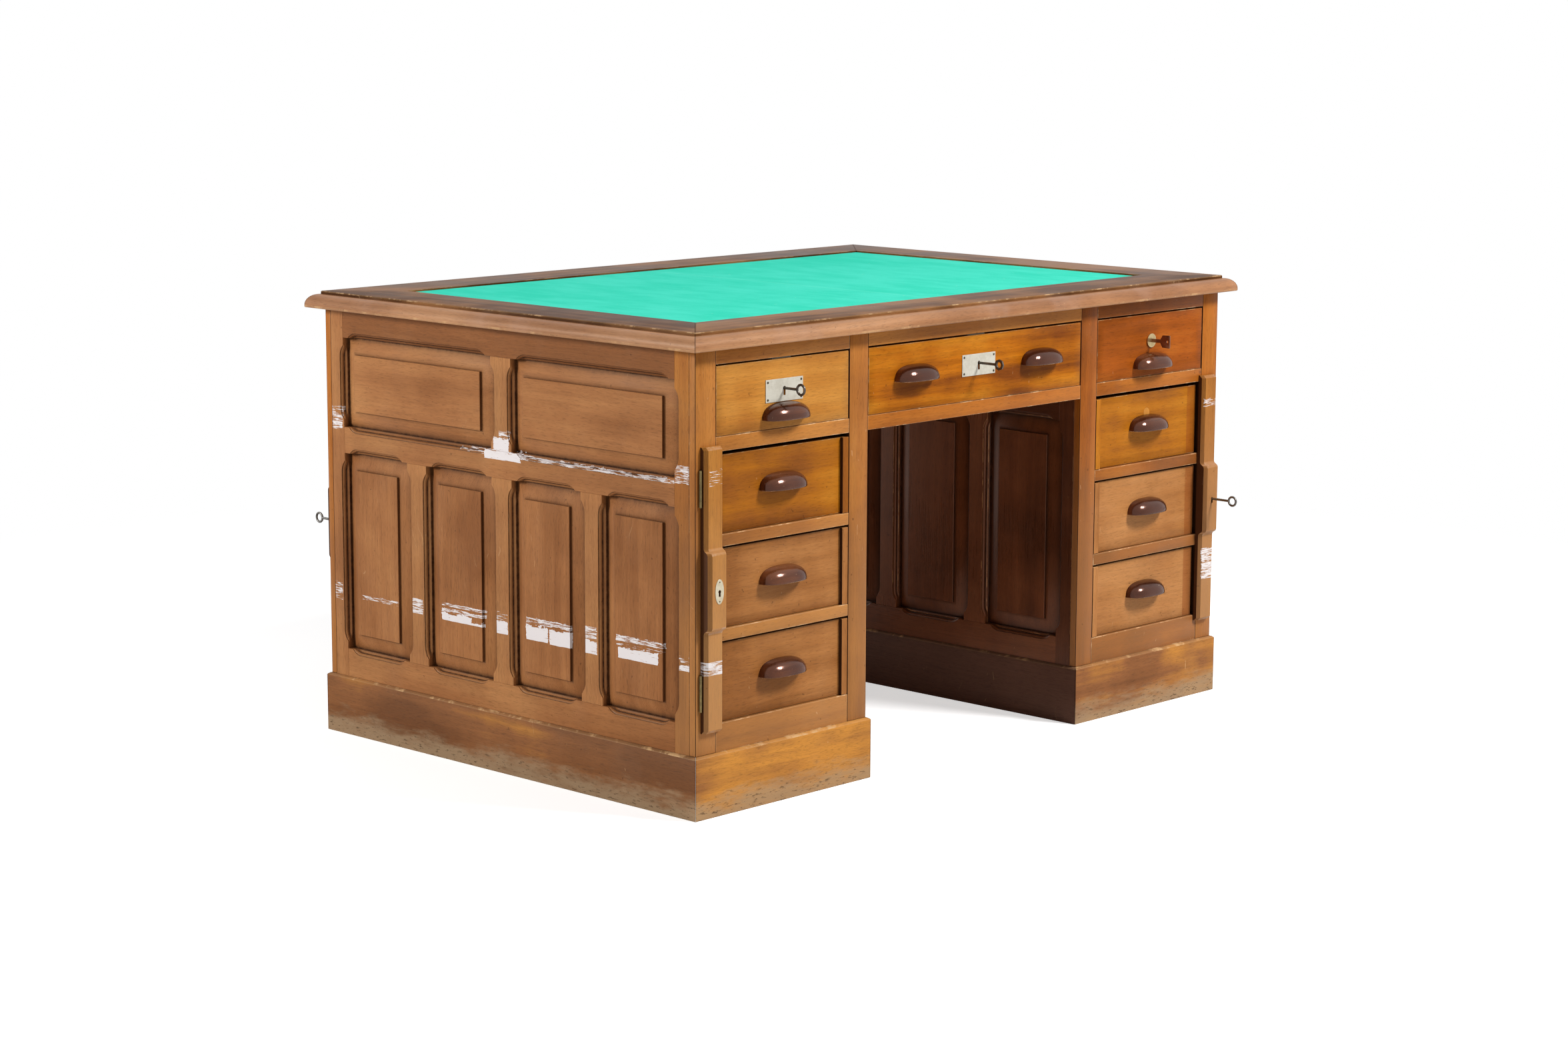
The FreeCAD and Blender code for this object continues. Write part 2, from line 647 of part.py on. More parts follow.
def frame_mortises(name):
    tools = []
    for side in ("left", "right"):
        leaf_x = from_end(side, hinge_axis_across - leaf_thickness / 2, leaf_width)
        for index, level in enumerate(hinge_levels):
            tools.append(box("%s_%s_leaf_mortise%d" % (name, side, index + 1),
                             (leaf_width, leaf_thickness, hinge_height), (leaf_x, front_face, level)))
        tools.append(box("%s_%s_staple_mortise" % (name, side),
                         (staple_width, staple_foot_thickness, staple_foot),
                         (from_end(side, stile_key_across - staple_width / 2, staple_width),
                          front_face, staple_level - staple_foot / 2)))
    rail_low = carcass_top - top_rail_height
    for index, middle in enumerate((from_end("left", pedestal_middle, 0), 0,
                                    from_end("right", pedestal_middle, 0))):
        tools.append(box("%s_bolt_mortise%d" % (name, index + 1),
                         (bolt_width + 2 * mortise_gap, bolt_thickness + 2 * mortise_gap,
                          bolt_throw + mortise_gap),
                         (middle - bolt_width / 2 - mortise_gap,
                          bolt_face - mortise_gap, rail_low)))
    return tools


bolt_face = front_face + case_front + case_wall + bolt_gap
node("front_frame", [cut("front_framing", frame_boards("front"), frame_mortises("front"))])
node("back_frame", [cut("back_framing", frame_boards("back"), frame_mortises("back"))], back=True)


# Runners and guides, the partition behind the drawers and the pedestal floors
def runner_set(name, side, start, level):
    """The runner and guide at each side of one pedestal drawer."""
    back_y = 0 - partition_thickness / 2
    deep = back_y - inside_face
    pieces = []
    outer_guide = start - seat_gap - side_thickness
    inner_edge = pedestal_width - side_thickness
    inner_guide = inner_edge - drawer_end - seat_gap
    for label, offset, guide in (("outer", side_thickness, outer_guide),
                                 ("inner", inner_edge - inner_guide, inner_guide)):
        wide = guide + runner_lap
        runner_offset = offset if label == "outer" else offset - runner_lap
        pieces.append(box("%s_%s_runner" % (name, label), (wide, deep, runner_height),
                          (from_end(side, runner_offset, wide), inside_face, level - runner_height)))
        pieces.append(box("%s_%s_guide" % (name, label), (guide, deep, guide_height),
                          (from_end(side, offset, guide), inside_face, level)))
    return pieces


def centre_runners(name):
    deep = 0 - partition_thickness / 2 - inside_face
    pieces = []
    for label, at_x in (("left", 0 - kneehole_width / 2), ("right", kneehole_width / 2 - runner_lap)):
        pieces.append(box("%s_%s_runner" % (name, label), (runner_lap, deep, runner_height),
                          (at_x, inside_face, top_opening - runner_height)))
    return pieces


def all_runners(name):
    pieces = centre_runners(name + "_centre")
    for side in ("left", "right"):
        pieces += runner_set("%s_%s_top" % (name, side), side, top_start, top_opening)
        for index in range(LOWER_DRAWERS):
            pieces += runner_set("%s_%s_lower%d" % (name, side, index + 1), side, lower_start,
                                 bottom_opening + index * level_pitch)
    return pieces


front_half = gathered("front_half_runners", all_runners("front"))
back_half = gathered("back_half_runners", all_runners("back"))
back_half.Placement = FreeCAD.Placement(FreeCAD.Vector(0, 0, 0), FreeCAD.Rotation(ALONG_Z, HALF_TURN))
node("drawer_runners", [front_half, back_half])

inner_width = pedestal_width - 2 * side_thickness
inner_boards = []
for side in ("left", "right"):
    inside_x = from_end(side, side_thickness, inner_width)
    inner_boards.append(box(side + "_floor", (inner_width, 0 - 2 * inside_face, floor_thickness),
                            (inside_x, inside_face, plinth_height)))
    inner_boards.append(box(side + "_partition",
                            (inner_width, partition_thickness,
                             carcass_top - plinth_height - floor_thickness),
                            (inside_x, 0 - partition_thickness / 2, plinth_height + floor_thickness)))
inner_boards.append(box("centre_partition",
                        (kneehole_width, partition_thickness, carcass_top - upper_rail),
                        (0 - kneehole_width / 2, 0 - partition_thickness / 2, upper_rail)))
node("inner_boards", inner_boards)


# Drawers
def keyhole(name, middle_x, level, face, deep):
    """Cutting tools for a keyhole: the round for the shank and the slot for the bit."""
    slot = bit_thickness + 2 * bit_gap
    return [rod(name + "_round", keyhole_radius, deep, (middle_x, face, level)),
            box(name + "_slot", (slot, deep, bit_height + bit_gap),
                (middle_x - slot / 2, face, level - bit_height - bit_gap))]


def screw_places(middle_x):
    across = plate_width / 2 - plate_screw_inset
    for sign_x in (-1, 1):
        for level in (plate_low + plate_screw_inset, plate_low + plate_height - plate_screw_inset):
            yield middle_x + sign_x * across, level


def lock_tools(name, middle_x, high):
    """What a plate lock takes out of the drawer front."""
    case_low = key_level - case_below_key
    tools = [box(name + "_case_mortise",
                 (case_width, front_thickness - case_front + cut_over, high - case_low + cut_over),
                 (middle_x - case_width / 2, front_face + case_front, case_low))]
    tools += keyhole(name + "_keyhole", middle_x, key_level, front_face - cut_over,
                     case_front + 2 * cut_over)
    for index, (at_x, level) in enumerate(screw_places(middle_x)):
        tools.append(rod("%s_pilot%d" % (name, index + 1), screw_shank_radius + screw_gap,
                         screw_length, (at_x, front_face - cut_over, level)))
    return tools


def lock_case(name, middle_x, high):
    """Plate, case with its cavity and screws of a drawer lock."""
    case_low = key_level - case_below_key
    case_deep = front_thickness - case_front
    shell = box(name + "_shell", (case_width, case_deep, high - case_low),
                (middle_x - case_width / 2, front_face + case_front, case_low))
    cavity = box(name + "_cavity",
                 (case_width - 2 * case_wall, case_deep - 2 * case_wall,
                  high - case_low - 2 * case_wall),
                 (middle_x - case_width / 2 + case_wall, front_face + case_front + case_wall,
                  case_low + case_wall))
    slot = box(name + "_bolt_slot",
               (bolt_width + 2 * bolt_gap, bolt_thickness + 2 * bolt_gap, case_wall + 2 * cut_over),
               (middle_x - bolt_width / 2 - bolt_gap, bolt_face - bolt_gap, high - case_wall - cut_over))
    case = cut(name + "_case", shell,
               [cavity, slot] + keyhole(name + "_case_keyhole", middle_x, key_level,
                                        front_face + case_front - cut_over, case_wall + 2 * cut_over))
    blank = box(name + "_blank", (plate_width, plate_thickness, plate_height),
                (middle_x - plate_width / 2, front_face - plate_thickness, plate_low))
    holes = keyhole(name + "_plate_keyhole", middle_x, key_level,
                    front_face - plate_thickness - cut_over, plate_thickness + 2 * cut_over)
    screws = []
    for index, (at_x, level) in enumerate(screw_places(middle_x)):
        face = front_face - plate_thickness
        holes.append(rod("%s_screw_hole%d" % (name, index + 1), screw_shank_radius + screw_gap,
                         plate_thickness + 2 * cut_over, (at_x, face - cut_over, level)))
        head = rod("%s_head%d" % (name, index + 1), screw_head_radius, screw_proud,
                   (at_x, face - screw_proud, level))
        shank = rod("%s_shank%d" % (name, index + 1), screw_shank_radius,
                    screw_length - cut_over, (at_x, face - screw_proud, level))
        screws.append(fused("%s_screw%d" % (name, index + 1), [head, shank]))
    return [case, cut(name + "_plate", blank, holes)] + screws


def lock_bolt(name, middle_x, high):
    return box(name, (bolt_width, bolt_thickness, bolt_length),
               (middle_x - bolt_width / 2, bolt_face, high - bolt_length))


def cylinder_tools(name, middle_x):
    return [rod(name + "_bore", cylinder_radius + barrel_gap, front_thickness + 2 * cut_over,
                (middle_x, front_face - cut_over, key_level))]


def cylinder_lock(name, middle_x):
    """Rim and barrel of the cylinder lock, bored for its plug."""
    rim = rod(name + "_rim", cylinder_rim_radius, cylinder_proud,
              (middle_x, front_face - cylinder_proud, key_level))
    barrel = rod(name + "_barrel", cylinder_radius, cylinder_length + cylinder_proud,
                 (middle_x, front_face - cylinder_proud, key_level))
    bore = rod(name + "_plug_bore", plug_radius + plug_gap,
               cylinder_length + cylinder_proud + 2 * cut_over,
               (middle_x, front_face - cylinder_proud - cut_over, key_level))
    return [cut(name + "_body", fused(name + "_solid", [rim, barrel]), [bore])]


def drawer_boards(name, low_x, high_x, level, height, recess, gap, lock=None, lock_x=None,
                  strip_x=None):
    """The boards of one drawer, as separate solids.

    low_x and high_x are the drawer's ends, level and height its opening; recess sets the front
    back from the face frame; lock is None, "plate" or "cylinder"; strip_x places the flush strip.
    """
    wide = high_x - low_x
    face = front_face + recess
    front_low = level + floor_gap
    front_high = level + height - gap
    back_face = face + front_thickness
    side_high = front_high - side_drop
    side_low = level + seat_gap
    rear = front_face + drawer_reach
    front = box(name + "_front", (wide, front_thickness, front_high - front_low),
                (low_x, face, front_low))
    if lock == "plate":
        front = cut(name + "_lock_front", front, lock_tools(name + "_lock", lock_x, front_high))
    if lock == "cylinder":
        front = cut(name + "_lock_front", front, cylinder_tools(name + "_lock", lock_x))
    boards = [front]
    for label, at_x in (("low", low_x), ("high", high_x - drawer_side)):
        boards.append(box("%s_%s_side" % (name, label),
                          (drawer_side, rear - back_face, side_high - side_low),
                          (at_x, back_face, side_low)))
    inner = wide - 2 * drawer_side
    bottom_level = side_low + bottom_lift
    boards.append(box(name + "_bottom", (inner, rear - back_face, drawer_bottom),
                      (low_x + drawer_side, back_face, bottom_level)))
    boards.append(box(name + "_back",
                      (inner, drawer_back, side_high - bottom_level - drawer_bottom),
                      (low_x + drawer_side, rear - drawer_back, bottom_level + drawer_bottom)))
    if strip_x is not None:
        boards.append(box(name + "_strip", (strip_width, recess, front_high - front_low),
                          (strip_x, front_face, front_low)))
    return boards


def cup_pull(name, middle_x, face, level):
    """A hooded pull: a quarter of a turned dome with a finger hollow open below."""
    dome = doc.addObject("Part::Ellipsoid", name + "_dome")
    hollow = doc.addObject("Part::Ellipsoid", name + "_hollow")
    dome.Angle1 = 0
    dome.Angle2 = 90
    dome.Angle3 = HALF_TURN
    turned(dome, ALONG_Z, HALF_TURN)
    bind(dome, Radius1=pull_height, Radius2=pull_length / 2, Radius3=pull_reach)
    bind(hollow, Radius1=pull_height - pull_wall, Radius2=pull_length / 2 - pull_wall,
         Radius3=pull_reach - pull_wall)
    for item in (dome, hollow):
        place(item, (middle_x, face, level))
    return cut(name, dome, [hollow])


top_pull_level = plate_low - plate_to_pull - pull_height


def pedestal_drawers(prefix, side, lock, back=False):
    """The four drawers of one pedestal face; returns nothing, files its nodes."""
    low_x = from_end(side, top_start, drawer_end - top_start)
    high_x = low_x + drawer_end - top_start
    middle_x = from_end(side, pedestal_middle, 0)
    front_high = top_opening + top_opening_height - small_gap
    name = prefix + "_top_drawer"
    boards = drawer_boards(name, low_x, high_x, top_opening, top_opening_height, 0,
                           small_gap, lock=lock, lock_x=middle_x)
    pull = cup_pull(name + "_cup", middle_x, front_face, top_pull_level)
    if back:
        fittings = lock_case(name + "_lock", middle_x, front_high)
        fittings.append(lock_bolt(name + "_lock_bolt_piece", middle_x, front_high))
        node(name, boards + [pull] + fittings, back=True)
    else:
        node(name, boards)
        node(name + "_pull", [pull])
    low_x = from_end(side, lower_start, drawer_end - lower_start)
    high_x = low_x + drawer_end - lower_start
    strip_x = high_x - strip_width if side == "left" else low_x
    words = ["bottom", "third", "second"]
    for index in range(LOWER_DRAWERS):
        name = "%s_%s_drawer" % (prefix, words[index])
        level = bottom_opening + index * level_pitch
        boards = drawer_boards(name, low_x, high_x, level, lower_opening_height, front_recess,
                               top_gap, strip_x=strip_x)
        pull = cup_pull(name + "_cup", middle_x, front_face + front_recess,
                        level + lower_opening_height / 2 - pull_below_middle)
        if back:
            node(name, boards + [pull], back=True)
        else:
            node(name, boards)
            node(name + "_pull", [pull])


def centre_drawer(prefix, back=False):
    low_x = side_gap - kneehole_width / 2
    high_x = kneehole_width / 2 - side_gap
    middle_x = 0
    name = prefix + "_drawer"
    front_high = top_opening + top_opening_height - small_gap
    boards = drawer_boards(name, low_x, high_x, top_opening, top_opening_height, 0,
                           small_gap, lock="plate", lock_x=middle_x)
    level = top_opening + top_opening_height / 2 - pull_below_middle
    pulls = [cup_pull("%s_cup%d" % (name, index + 1), sign * pull_spacing / 2, front_face, level)
             for index, sign in enumerate((-1, 1))]
    if back:
        fittings = lock_case(name + "_lock", middle_x, front_high)
        fittings.append(lock_bolt(name + "_lock_bolt_piece", middle_x, front_high))
        node(name, boards + pulls + fittings, back=True)
    else:
        node(name, boards)
        node(name + "_pulls", pulls)


pedestal_drawers("left", "left", "plate")
pedestal_drawers("right", "right", "cylinder")
centre_drawer("centre")
pedestal_drawers("back_right", "left", "plate", back=True)
pedestal_drawers("back_left", "right", "plate", back=True)
centre_drawer("back_centre", back=True)


# Locks and keys of the front top drawers
def keyed_shank(name, middle_x, level, face, out, bit_from):
    """Shank of a key from its bow to its tip, with the bit, as one solid."""
    shank = rod(name + "_shank", shank_radius, out + bit_from + bit_length,
                (middle_x, face - out, level))
    bit = box(name + "_bit", (bit_thickness, bit_length, bit_height),
              (middle_x - bit_thickness / 2, face + bit_from, level - bit_height))
    return [shank, bit]


def ring_bow(name, middle_x, level, centre_y):
    """Round bow of a key, standing in the plane of its bit."""
    ring = doc.addObject("Part::Torus", name + "_ring")
    turned(ring, ALONG_Y, 90)
    bind(ring, Radius1=ring_radius, Radius2=ring_wire)
    place(ring, (middle_x, centre_y, level))
    return ring


def flat_bow(name, sides, radius, thickness, middle_x, level, centre_y):
    """Many-sided flat bow with a round hole, standing in the plane of its bit."""
    prism = doc.addObject("Part::Prism", name + "_prism")
    prism.Polygon = sides
    turned(prism, ALONG_Y, 90)
    bind(prism, Circumradius=radius, Height=thickness)
    place(prism, (middle_x - thickness / 2, centre_y, level))
    hole = doc.addObject("Part::Cylinder", name + "_hole")
    turned(hole, ALONG_Y, 90)
    bind(hole, Radius=bow_hole_radius, Height=thickness + 2 * cut_over)
    place(hole, (middle_x - thickness / 2 - cut_over, centre_y, level))
    return cut(name + "_bow", prism, [hole])


drawer_high = top_opening + top_opening_height - small_gap
bit_start = bolt_face - front_face + bolt_thickness + bolt_gap
left_middle = from_end("left", pedestal_middle, 0)
right_middle = from_end("right", pedestal_middle, 0)
centre_line = 0

node("left_lock", lock_case("left_drawer_lock", left_middle, drawer_high))
node("left_lock_bolt", [lock_bolt("left_bolt", left_middle, drawer_high)])
node("left_key", [fused("left_key_solid", keyed_shank(
    "left_key", left_middle, key_level, front_face, left_key_out - ring_radius, bit_start)
    + [ring_bow("left_key", left_middle, key_level, front_face - left_key_out)])])

node("centre_lock", lock_case("centre_drawer_lock", centre_line, drawer_high))
node("centre_lock_bolt", [lock_bolt("centre_bolt", centre_line, drawer_high)])
centre_shank_out = centre_key_out - (bow_radius + bow_hole_radius) / 2
node("centre_key", [fused("centre_key_solid", keyed_shank(
    "centre_key", centre_line, key_level, front_face, centre_shank_out, bit_start)
    + [flat_bow("centre_key", OCTAGON, bow_radius, bow_thickness, centre_line, key_level,
                front_face - centre_key_out)])])

node("right_cylinder_lock", cylinder_lock("right_cylinder", right_middle))
plug = rod("right_plug", plug_radius, cylinder_length + cylinder_proud,
           (right_middle, front_face - cylinder_proud, key_level))
blade_out = flat_key_out - (flat_bow_radius + bow_hole_radius) / 2
blade = box("right_blade", (blade_thickness, blade_out, blade_height),
            (right_middle - blade_thickness / 2, front_face - blade_out, key_level - blade_height / 2))
node("right_key", [fused("right_key_solid", [plug, blade, flat_bow(
    "right_key", HEXAGON, flat_bow_radius, flat_bow_thickness, right_middle, key_level,
    front_face - flat_key_out)])])


# Locking stiles
def stile_body(name, at_x):
    """The moulded upright: thin ends, a thicker middle with ogee shoulders, bevels all round."""
    body = doc.addObject("PartDesign::Body", name)
    back = swell_thickness - stile_gap
    foot_low = (stile_length - swell_length) / 2
    foot_high = foot_low + swell_length
    half_step = stile_swell / 2
    half_rise = shoulder_height / 2
    bend = (stile_swell * stile_swell + shoulder_height * shoulder_height) / (4 * stile_swell)
    hollow = stile_swell - bend
    corners = [
        (back, 0),
        (back, stile_length),
        (stile_swell + stile_bevel, stile_length),
        (stile_swell, stile_length - stile_bevel),
        (stile_swell, foot_high, (hollow, foot_high)),
        (half_step, foot_high - half_rise, (bend, foot_high - shoulder_height)),
        (0, foot_high - shoulder_height),
        (0, foot_low + shoulder_height, (bend, foot_low + shoulder_height)),
        (half_step, foot_low + half_rise, (hollow, foot_low)),
        (stile_swell, foot_low),
        (stile_swell, stile_bevel),
        (stile_swell + stile_bevel, 0),
    ]
    section = sketch_on(body, "YZ_Plane", [corners])
    pad = body.newObject("PartDesign::Pad", name + "_blank")
    pad.Profile = section
    bind(pad, Length=stile_width)
    body.Tip = pad
    doc.recompute()
    front_edges = []
    for number, edge in enumerate(pad.Shape.Edges, 1):
        span = edge.BoundBox
        if span.XLength < same_place.value and span.YMax < back.value - same_place.value:
            front_edges.append("Edge%d" % number)
    bevel = body.newObject("PartDesign::Chamfer", name + "_bevel")
    bevel.Base = (pad, front_edges)
    bind(bevel, Size=stile_bevel)
    body.Tip = bevel
    place(body, (at_x, front_face - swell_thickness, stile_low))
    return body


stile_case_low = stile_key_level - stile_case_height / 2
stile_case_face = front_face - stile_gap - stile_case_depth
stile_bolt_face = front_face - stile_gap - case_wall - bolt_gap - bolt_thickness
stile_bolt_level = stile_key_level - stile_bolt_down


def stile_cut(name, side):
    """A locking stile with its keyhole, lock pocket and leaf mortises."""
    at_x = from_end(side, stile_inset, stile_width)
    middle_x = from_end(side, stile_key_across, 0)
    face = front_face - swell_thickness
    leaf_x = from_end(side, hinge_axis_across, leaf_width)
    tools = [box(name + "_lock_pocket",
                 (stile_case_width, stile_case_depth + cut_over, stile_case_height),
                 (middle_x - stile_case_width / 2, stile_case_face, stile_case_low))]
    tools += keyhole(name + "_keyhole", middle_x, stile_key_level, face - cut_over,
                     swell_thickness)
    for index, level in enumerate(hinge_levels):
        tools.append(box("%s_leaf_mortise%d" % (name, index + 1),
                         (leaf_width, leaf_thickness + stile_gap, hinge_height),
                         (leaf_x, front_face - stile_gap - leaf_thickness, level)))
    return cut(name + "_wood", stile_body(name, at_x), tools)


def knuckles(name, side, level, held):
    """Knuckles of one leaf of a hinge, those with an even number held by the face frame."""
    axis_x = from_end(side, hinge_axis_across, 0)
    pieces = []
    for index in range(KNUCKLES):
        if (index % 2 == 0) != held:
            continue
        pieces.append(post("%s_knuckle%d" % (name, index + 1), knuckle_radius,
                           knuckle_pitch - knuckle_gap,
                           (axis_x, hinge_axis_out, level + index * knuckle_pitch + knuckle_gap / 2)))
    return pieces


def leaf(name, side, level, held):
    """One hinge leaf with its knuckles, bored for the pin."""
    axis_x = from_end(side, hinge_axis_across, 0)
    web_x = from_end(side, hinge_axis_across - leaf_thickness / 2, leaf_thickness)
    parts = knuckles(name, side, level, held)
    if held:
        parts.append(box(name + "_leaf", (leaf_width, leaf_thickness, hinge_height),
                         (from_end(side, hinge_axis_across - leaf_thickness / 2, leaf_width),
                          front_face, level)))
        for index in range(0, KNUCKLES, 2):
            parts.append(box("%s_web%d" % (name, index + 1),
                             (leaf_thickness, front_face - hinge_axis_out,
                              knuckle_pitch - knuckle_gap),
                             (web_x, hinge_axis_out,
                              level + index * knuckle_pitch + knuckle_gap / 2)))
    else:
        clear = knuckle_radius + knuckle_side_gap
        parts.append(box(name + "_leaf", (leaf_width - clear, leaf_thickness, hinge_height),
                         (from_end(side, hinge_axis_across + clear, leaf_width - clear),
                          front_face - stile_gap - leaf_thickness, level)))
        for index in range(1, KNUCKLES, 2):
            parts.append(box("%s_web%d" % (name, index + 1),
                             (clear + leaf_thickness, leaf_thickness, knuckle_pitch - knuckle_gap),
                             (from_end(side, hinge_axis_across, clear + leaf_thickness),
                              front_face - stile_gap - leaf_thickness,
                              level + index * knuckle_pitch + knuckle_gap / 2)))
    bore = post(name + "_bore", hinge_pin_radius + hinge_pin_gap, hinge_height + 2 * cut_over,
                (axis_x, hinge_axis_out, level - cut_over))
    return cut(name, fused(name + "_solid", parts), [bore])


def hinge_pin(name, side, level):
    return post(name, hinge_pin_radius, hinge_height,
                (from_end(side, hinge_axis_across, 0), hinge_axis_out, level))


def staple(name, side):
    """The staple that the stile's bolt passes through: a foot plate and a tongue with an eye."""
    middle_x = from_end(side, stile_key_across, 0)
    foot = box(name + "_foot", (staple_width, staple_foot_thickness, staple_foot),
               (middle_x - staple_width / 2, front_face, staple_level - staple_foot / 2))
    tongue = box(name + "_tongue", (staple_width, staple_length, staple_height),
                 (middle_x - staple_width / 2, front_face - staple_length, staple_level))
    eye = box(name + "_eye",
              (bolt_width + 2 * staple_play, bolt_thickness + 2 * staple_play,
               staple_height + 2 * cut_over),
              (middle_x - bolt_width / 2 - staple_play, stile_bolt_face - staple_play,
               staple_level - cut_over))
    return cut(name, fused(name + "_solid", [foot, tongue]), [eye])


def stile_lock(name, side):
    """Lock case in a stile, with a window at the back where the staple comes in."""
    middle_x = from_end(side, stile_key_across, 0)
    shell = box(name + "_shell", (stile_case_width, stile_case_depth, stile_case_height),
                (middle_x - stile_case_width / 2, stile_case_face, stile_case_low))
    cavity = box(name + "_cavity",
                 (stile_case_width - 2 * case_wall, stile_case_depth - 2 * case_wall,
                  stile_case_height - 2 * case_wall),
                 (middle_x - stile_case_width / 2 + case_wall, stile_case_face + case_wall,
                  stile_case_low + case_wall))
    window = box(name + "_window",
                 (staple_width + 2 * staple_play, case_wall + 2 * cut_over,
                  staple_height + 2 * staple_play),
                 (middle_x - staple_width / 2 - staple_play,
                  front_face - stile_gap - case_wall - cut_over, staple_level - staple_play))
    return cut(name, shell, [cavity, window] + keyhole(name + "_keyhole", middle_x, stile_key_level,
                                               stile_case_face - cut_over,
                                               case_wall + 2 * cut_over))


def stile_bolt(name, side):
    middle_x = from_end(side, stile_key_across, 0)
    return box(name, (bolt_width, bolt_thickness, bolt_length),
               (middle_x - bolt_width / 2, stile_bolt_face, stile_bolt_level))


def escutcheon(name, side):
    """Oval keyhole plate on the face of a stile."""
    middle_x = from_end(side, stile_key_across, 0)
    oval = doc.addObject("Part::Ellipse", name + "_oval")
    bind(oval, MajorRadius=escutcheon_height / 2, MinorRadius=escutcheon_width / 2)
    upright = FreeCAD.Rotation(ALONG_X, 90).multiply(FreeCAD.Rotation(ALONG_Z, 90))
    oval.Placement = FreeCAD.Placement(FreeCAD.Vector(0, 0, 0), upright)
    place(oval, (middle_x, front_face - swell_thickness, stile_key_level))
    plate = doc.addObject("Part::Extrusion", name + "_blank")
    plate.Base = oval
    plate.DirMode = "Custom"
    plate.Dir = -ALONG_Y
    plate.Solid = True
    bind(plate, LengthFwd=escutcheon_thickness)
    return cut(name, plate, keyhole(name + "_keyhole", middle_x, stile_key_level,
                                    front_face - swell_thickness - 2 * cut_over, 3 * cut_over))


carcass_fittings = []
for index, level in enumerate(hinge_levels):
    for side in ("left", "right"):
        label = "%s_hinge%d" % (side, index + 1)
        carcass_fittings.append(leaf(label + "_held_leaf", side, level, True))
        carcass_fittings.append(hinge_pin(label + "_pin", side, level))
for side in ("left", "right"):
    carcass_fittings.append(staple(side + "_staple", side))
node("front_stile_fittings", carcass_fittings)
node("back_stile_fittings", carcass_fittings, back=True)


def stile_brass(name, side, keyless):
    """Moving leaves and lock of a stile; without a key in it, it has its bolt and oval plate too."""
    pieces = [leaf("%s_moving_leaf%d" % (name, index + 1), side, level, False)
              for index, level in enumerate(hinge_levels)]
    pieces.append(stile_lock(name + "_lock", side))
    if keyless:
        pieces.append(escutcheon(name + "_escutcheon", side))
        pieces.append(stile_bolt(name + "_bolt", side))
    return pieces


left_wood = stile_cut("left_stile", "left")
right_wood = stile_cut("right_stile", "right")
left_brass = stile_brass("left_stile_brass", "left", True)
right_brass = stile_brass("right_stile_brass", "right", False)
node("left_locking_stile", [left_wood])
node("left_stile_lock", left_brass)
node("right_locking_stile", [right_wood])
node("right_stile_lock", right_brass)
node("right_stile_bolt", [stile_bolt("right_stile_bolt_piece", "right")])
node("back_right_locking_stile", [left_wood] + left_brass, back=True)
node("back_left_locking_stile", [right_wood] + right_brass, back=True)
node("back_left_stile_bolt", [stile_bolt("back_stile_bolt_piece", "right")], back=True)

stile_key_middle = from_end("right", stile_key_across, 0)
stile_face = front_face - swell_thickness
stile_bit_start = stile_case_face + case_wall + bolt_gap - stile_face
stile_key_solid = fused("stile_key_solid", keyed_shank(
    "stile_key", stile_key_middle, stile_key_level, stile_face, stile_key_out - ring_radius,
    stile_bit_start) + [ring_bow("stile_key", stile_key_middle, stile_key_level,
                                 stile_face - stile_key_out)])
node("right_stile_key", [stile_key_solid])
node("back_left_stile_key", [stile_key_solid], back=True)

doc.recompute()

# A feature can fail without stopping the script, so each one is looked at before anything is saved
faults = [item.Name for item in doc.Objects if "Invalid" in item.State or "Error" in item.State]
for item in nodes:
    if item.Shape.isNull() or not item.Shape.isValid() or not item.Shape.Solids:
        faults.append(item.Label)
if faults:
    raise RuntimeError("failed: " + ", ".join(faults))
for item in nodes:
    item.Shape.exportStep("parts/%s.step" % item.Label)
print("%d sub-parts, %d solids" % (len(nodes), sum(len(item.Shape.Solids) for item in nodes)))
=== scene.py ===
"""Looks of the partners' writing desk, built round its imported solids.

Every board, moulding, pull and plate is made here at the size and place of its solid, in
millimetres, and turned into metres when its mesh is made. X runs along the desk, the front looks
along -Y, and Z is up.
"""

import logging
import math
import random
from dataclasses import dataclass, field, replace
from enum import Enum
from typing import Callable, Iterable, Sequence, Union

import bmesh
import bpy
from mathutils import Matrix, Vector
from mathutils.geometry import normal

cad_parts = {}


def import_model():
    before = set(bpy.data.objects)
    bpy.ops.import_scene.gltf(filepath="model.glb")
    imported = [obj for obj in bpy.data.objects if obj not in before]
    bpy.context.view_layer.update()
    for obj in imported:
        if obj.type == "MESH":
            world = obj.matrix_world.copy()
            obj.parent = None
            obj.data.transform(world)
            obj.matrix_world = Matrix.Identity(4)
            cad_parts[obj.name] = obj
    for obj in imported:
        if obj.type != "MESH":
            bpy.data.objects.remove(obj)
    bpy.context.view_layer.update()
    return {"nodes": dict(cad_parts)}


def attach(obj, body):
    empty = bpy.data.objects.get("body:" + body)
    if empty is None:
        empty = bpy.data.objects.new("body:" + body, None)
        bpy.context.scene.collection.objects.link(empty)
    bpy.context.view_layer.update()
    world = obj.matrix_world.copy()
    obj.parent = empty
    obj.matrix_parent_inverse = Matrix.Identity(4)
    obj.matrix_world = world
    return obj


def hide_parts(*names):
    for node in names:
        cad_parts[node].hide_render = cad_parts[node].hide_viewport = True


MM = 0.001
HALF_TURN = Matrix.Rotation(math.pi, 3, "Z")

Colour = tuple[float, float, float]
Point = tuple[float, float, float]
Extent = tuple[float, float, float]
Pair = tuple[float, float]
Spans = Sequence[Pair]
Face = tuple[int, ...]
Term = Union["Sock", float]

log = logging.getLogger("writing_desk")


# Shader tools


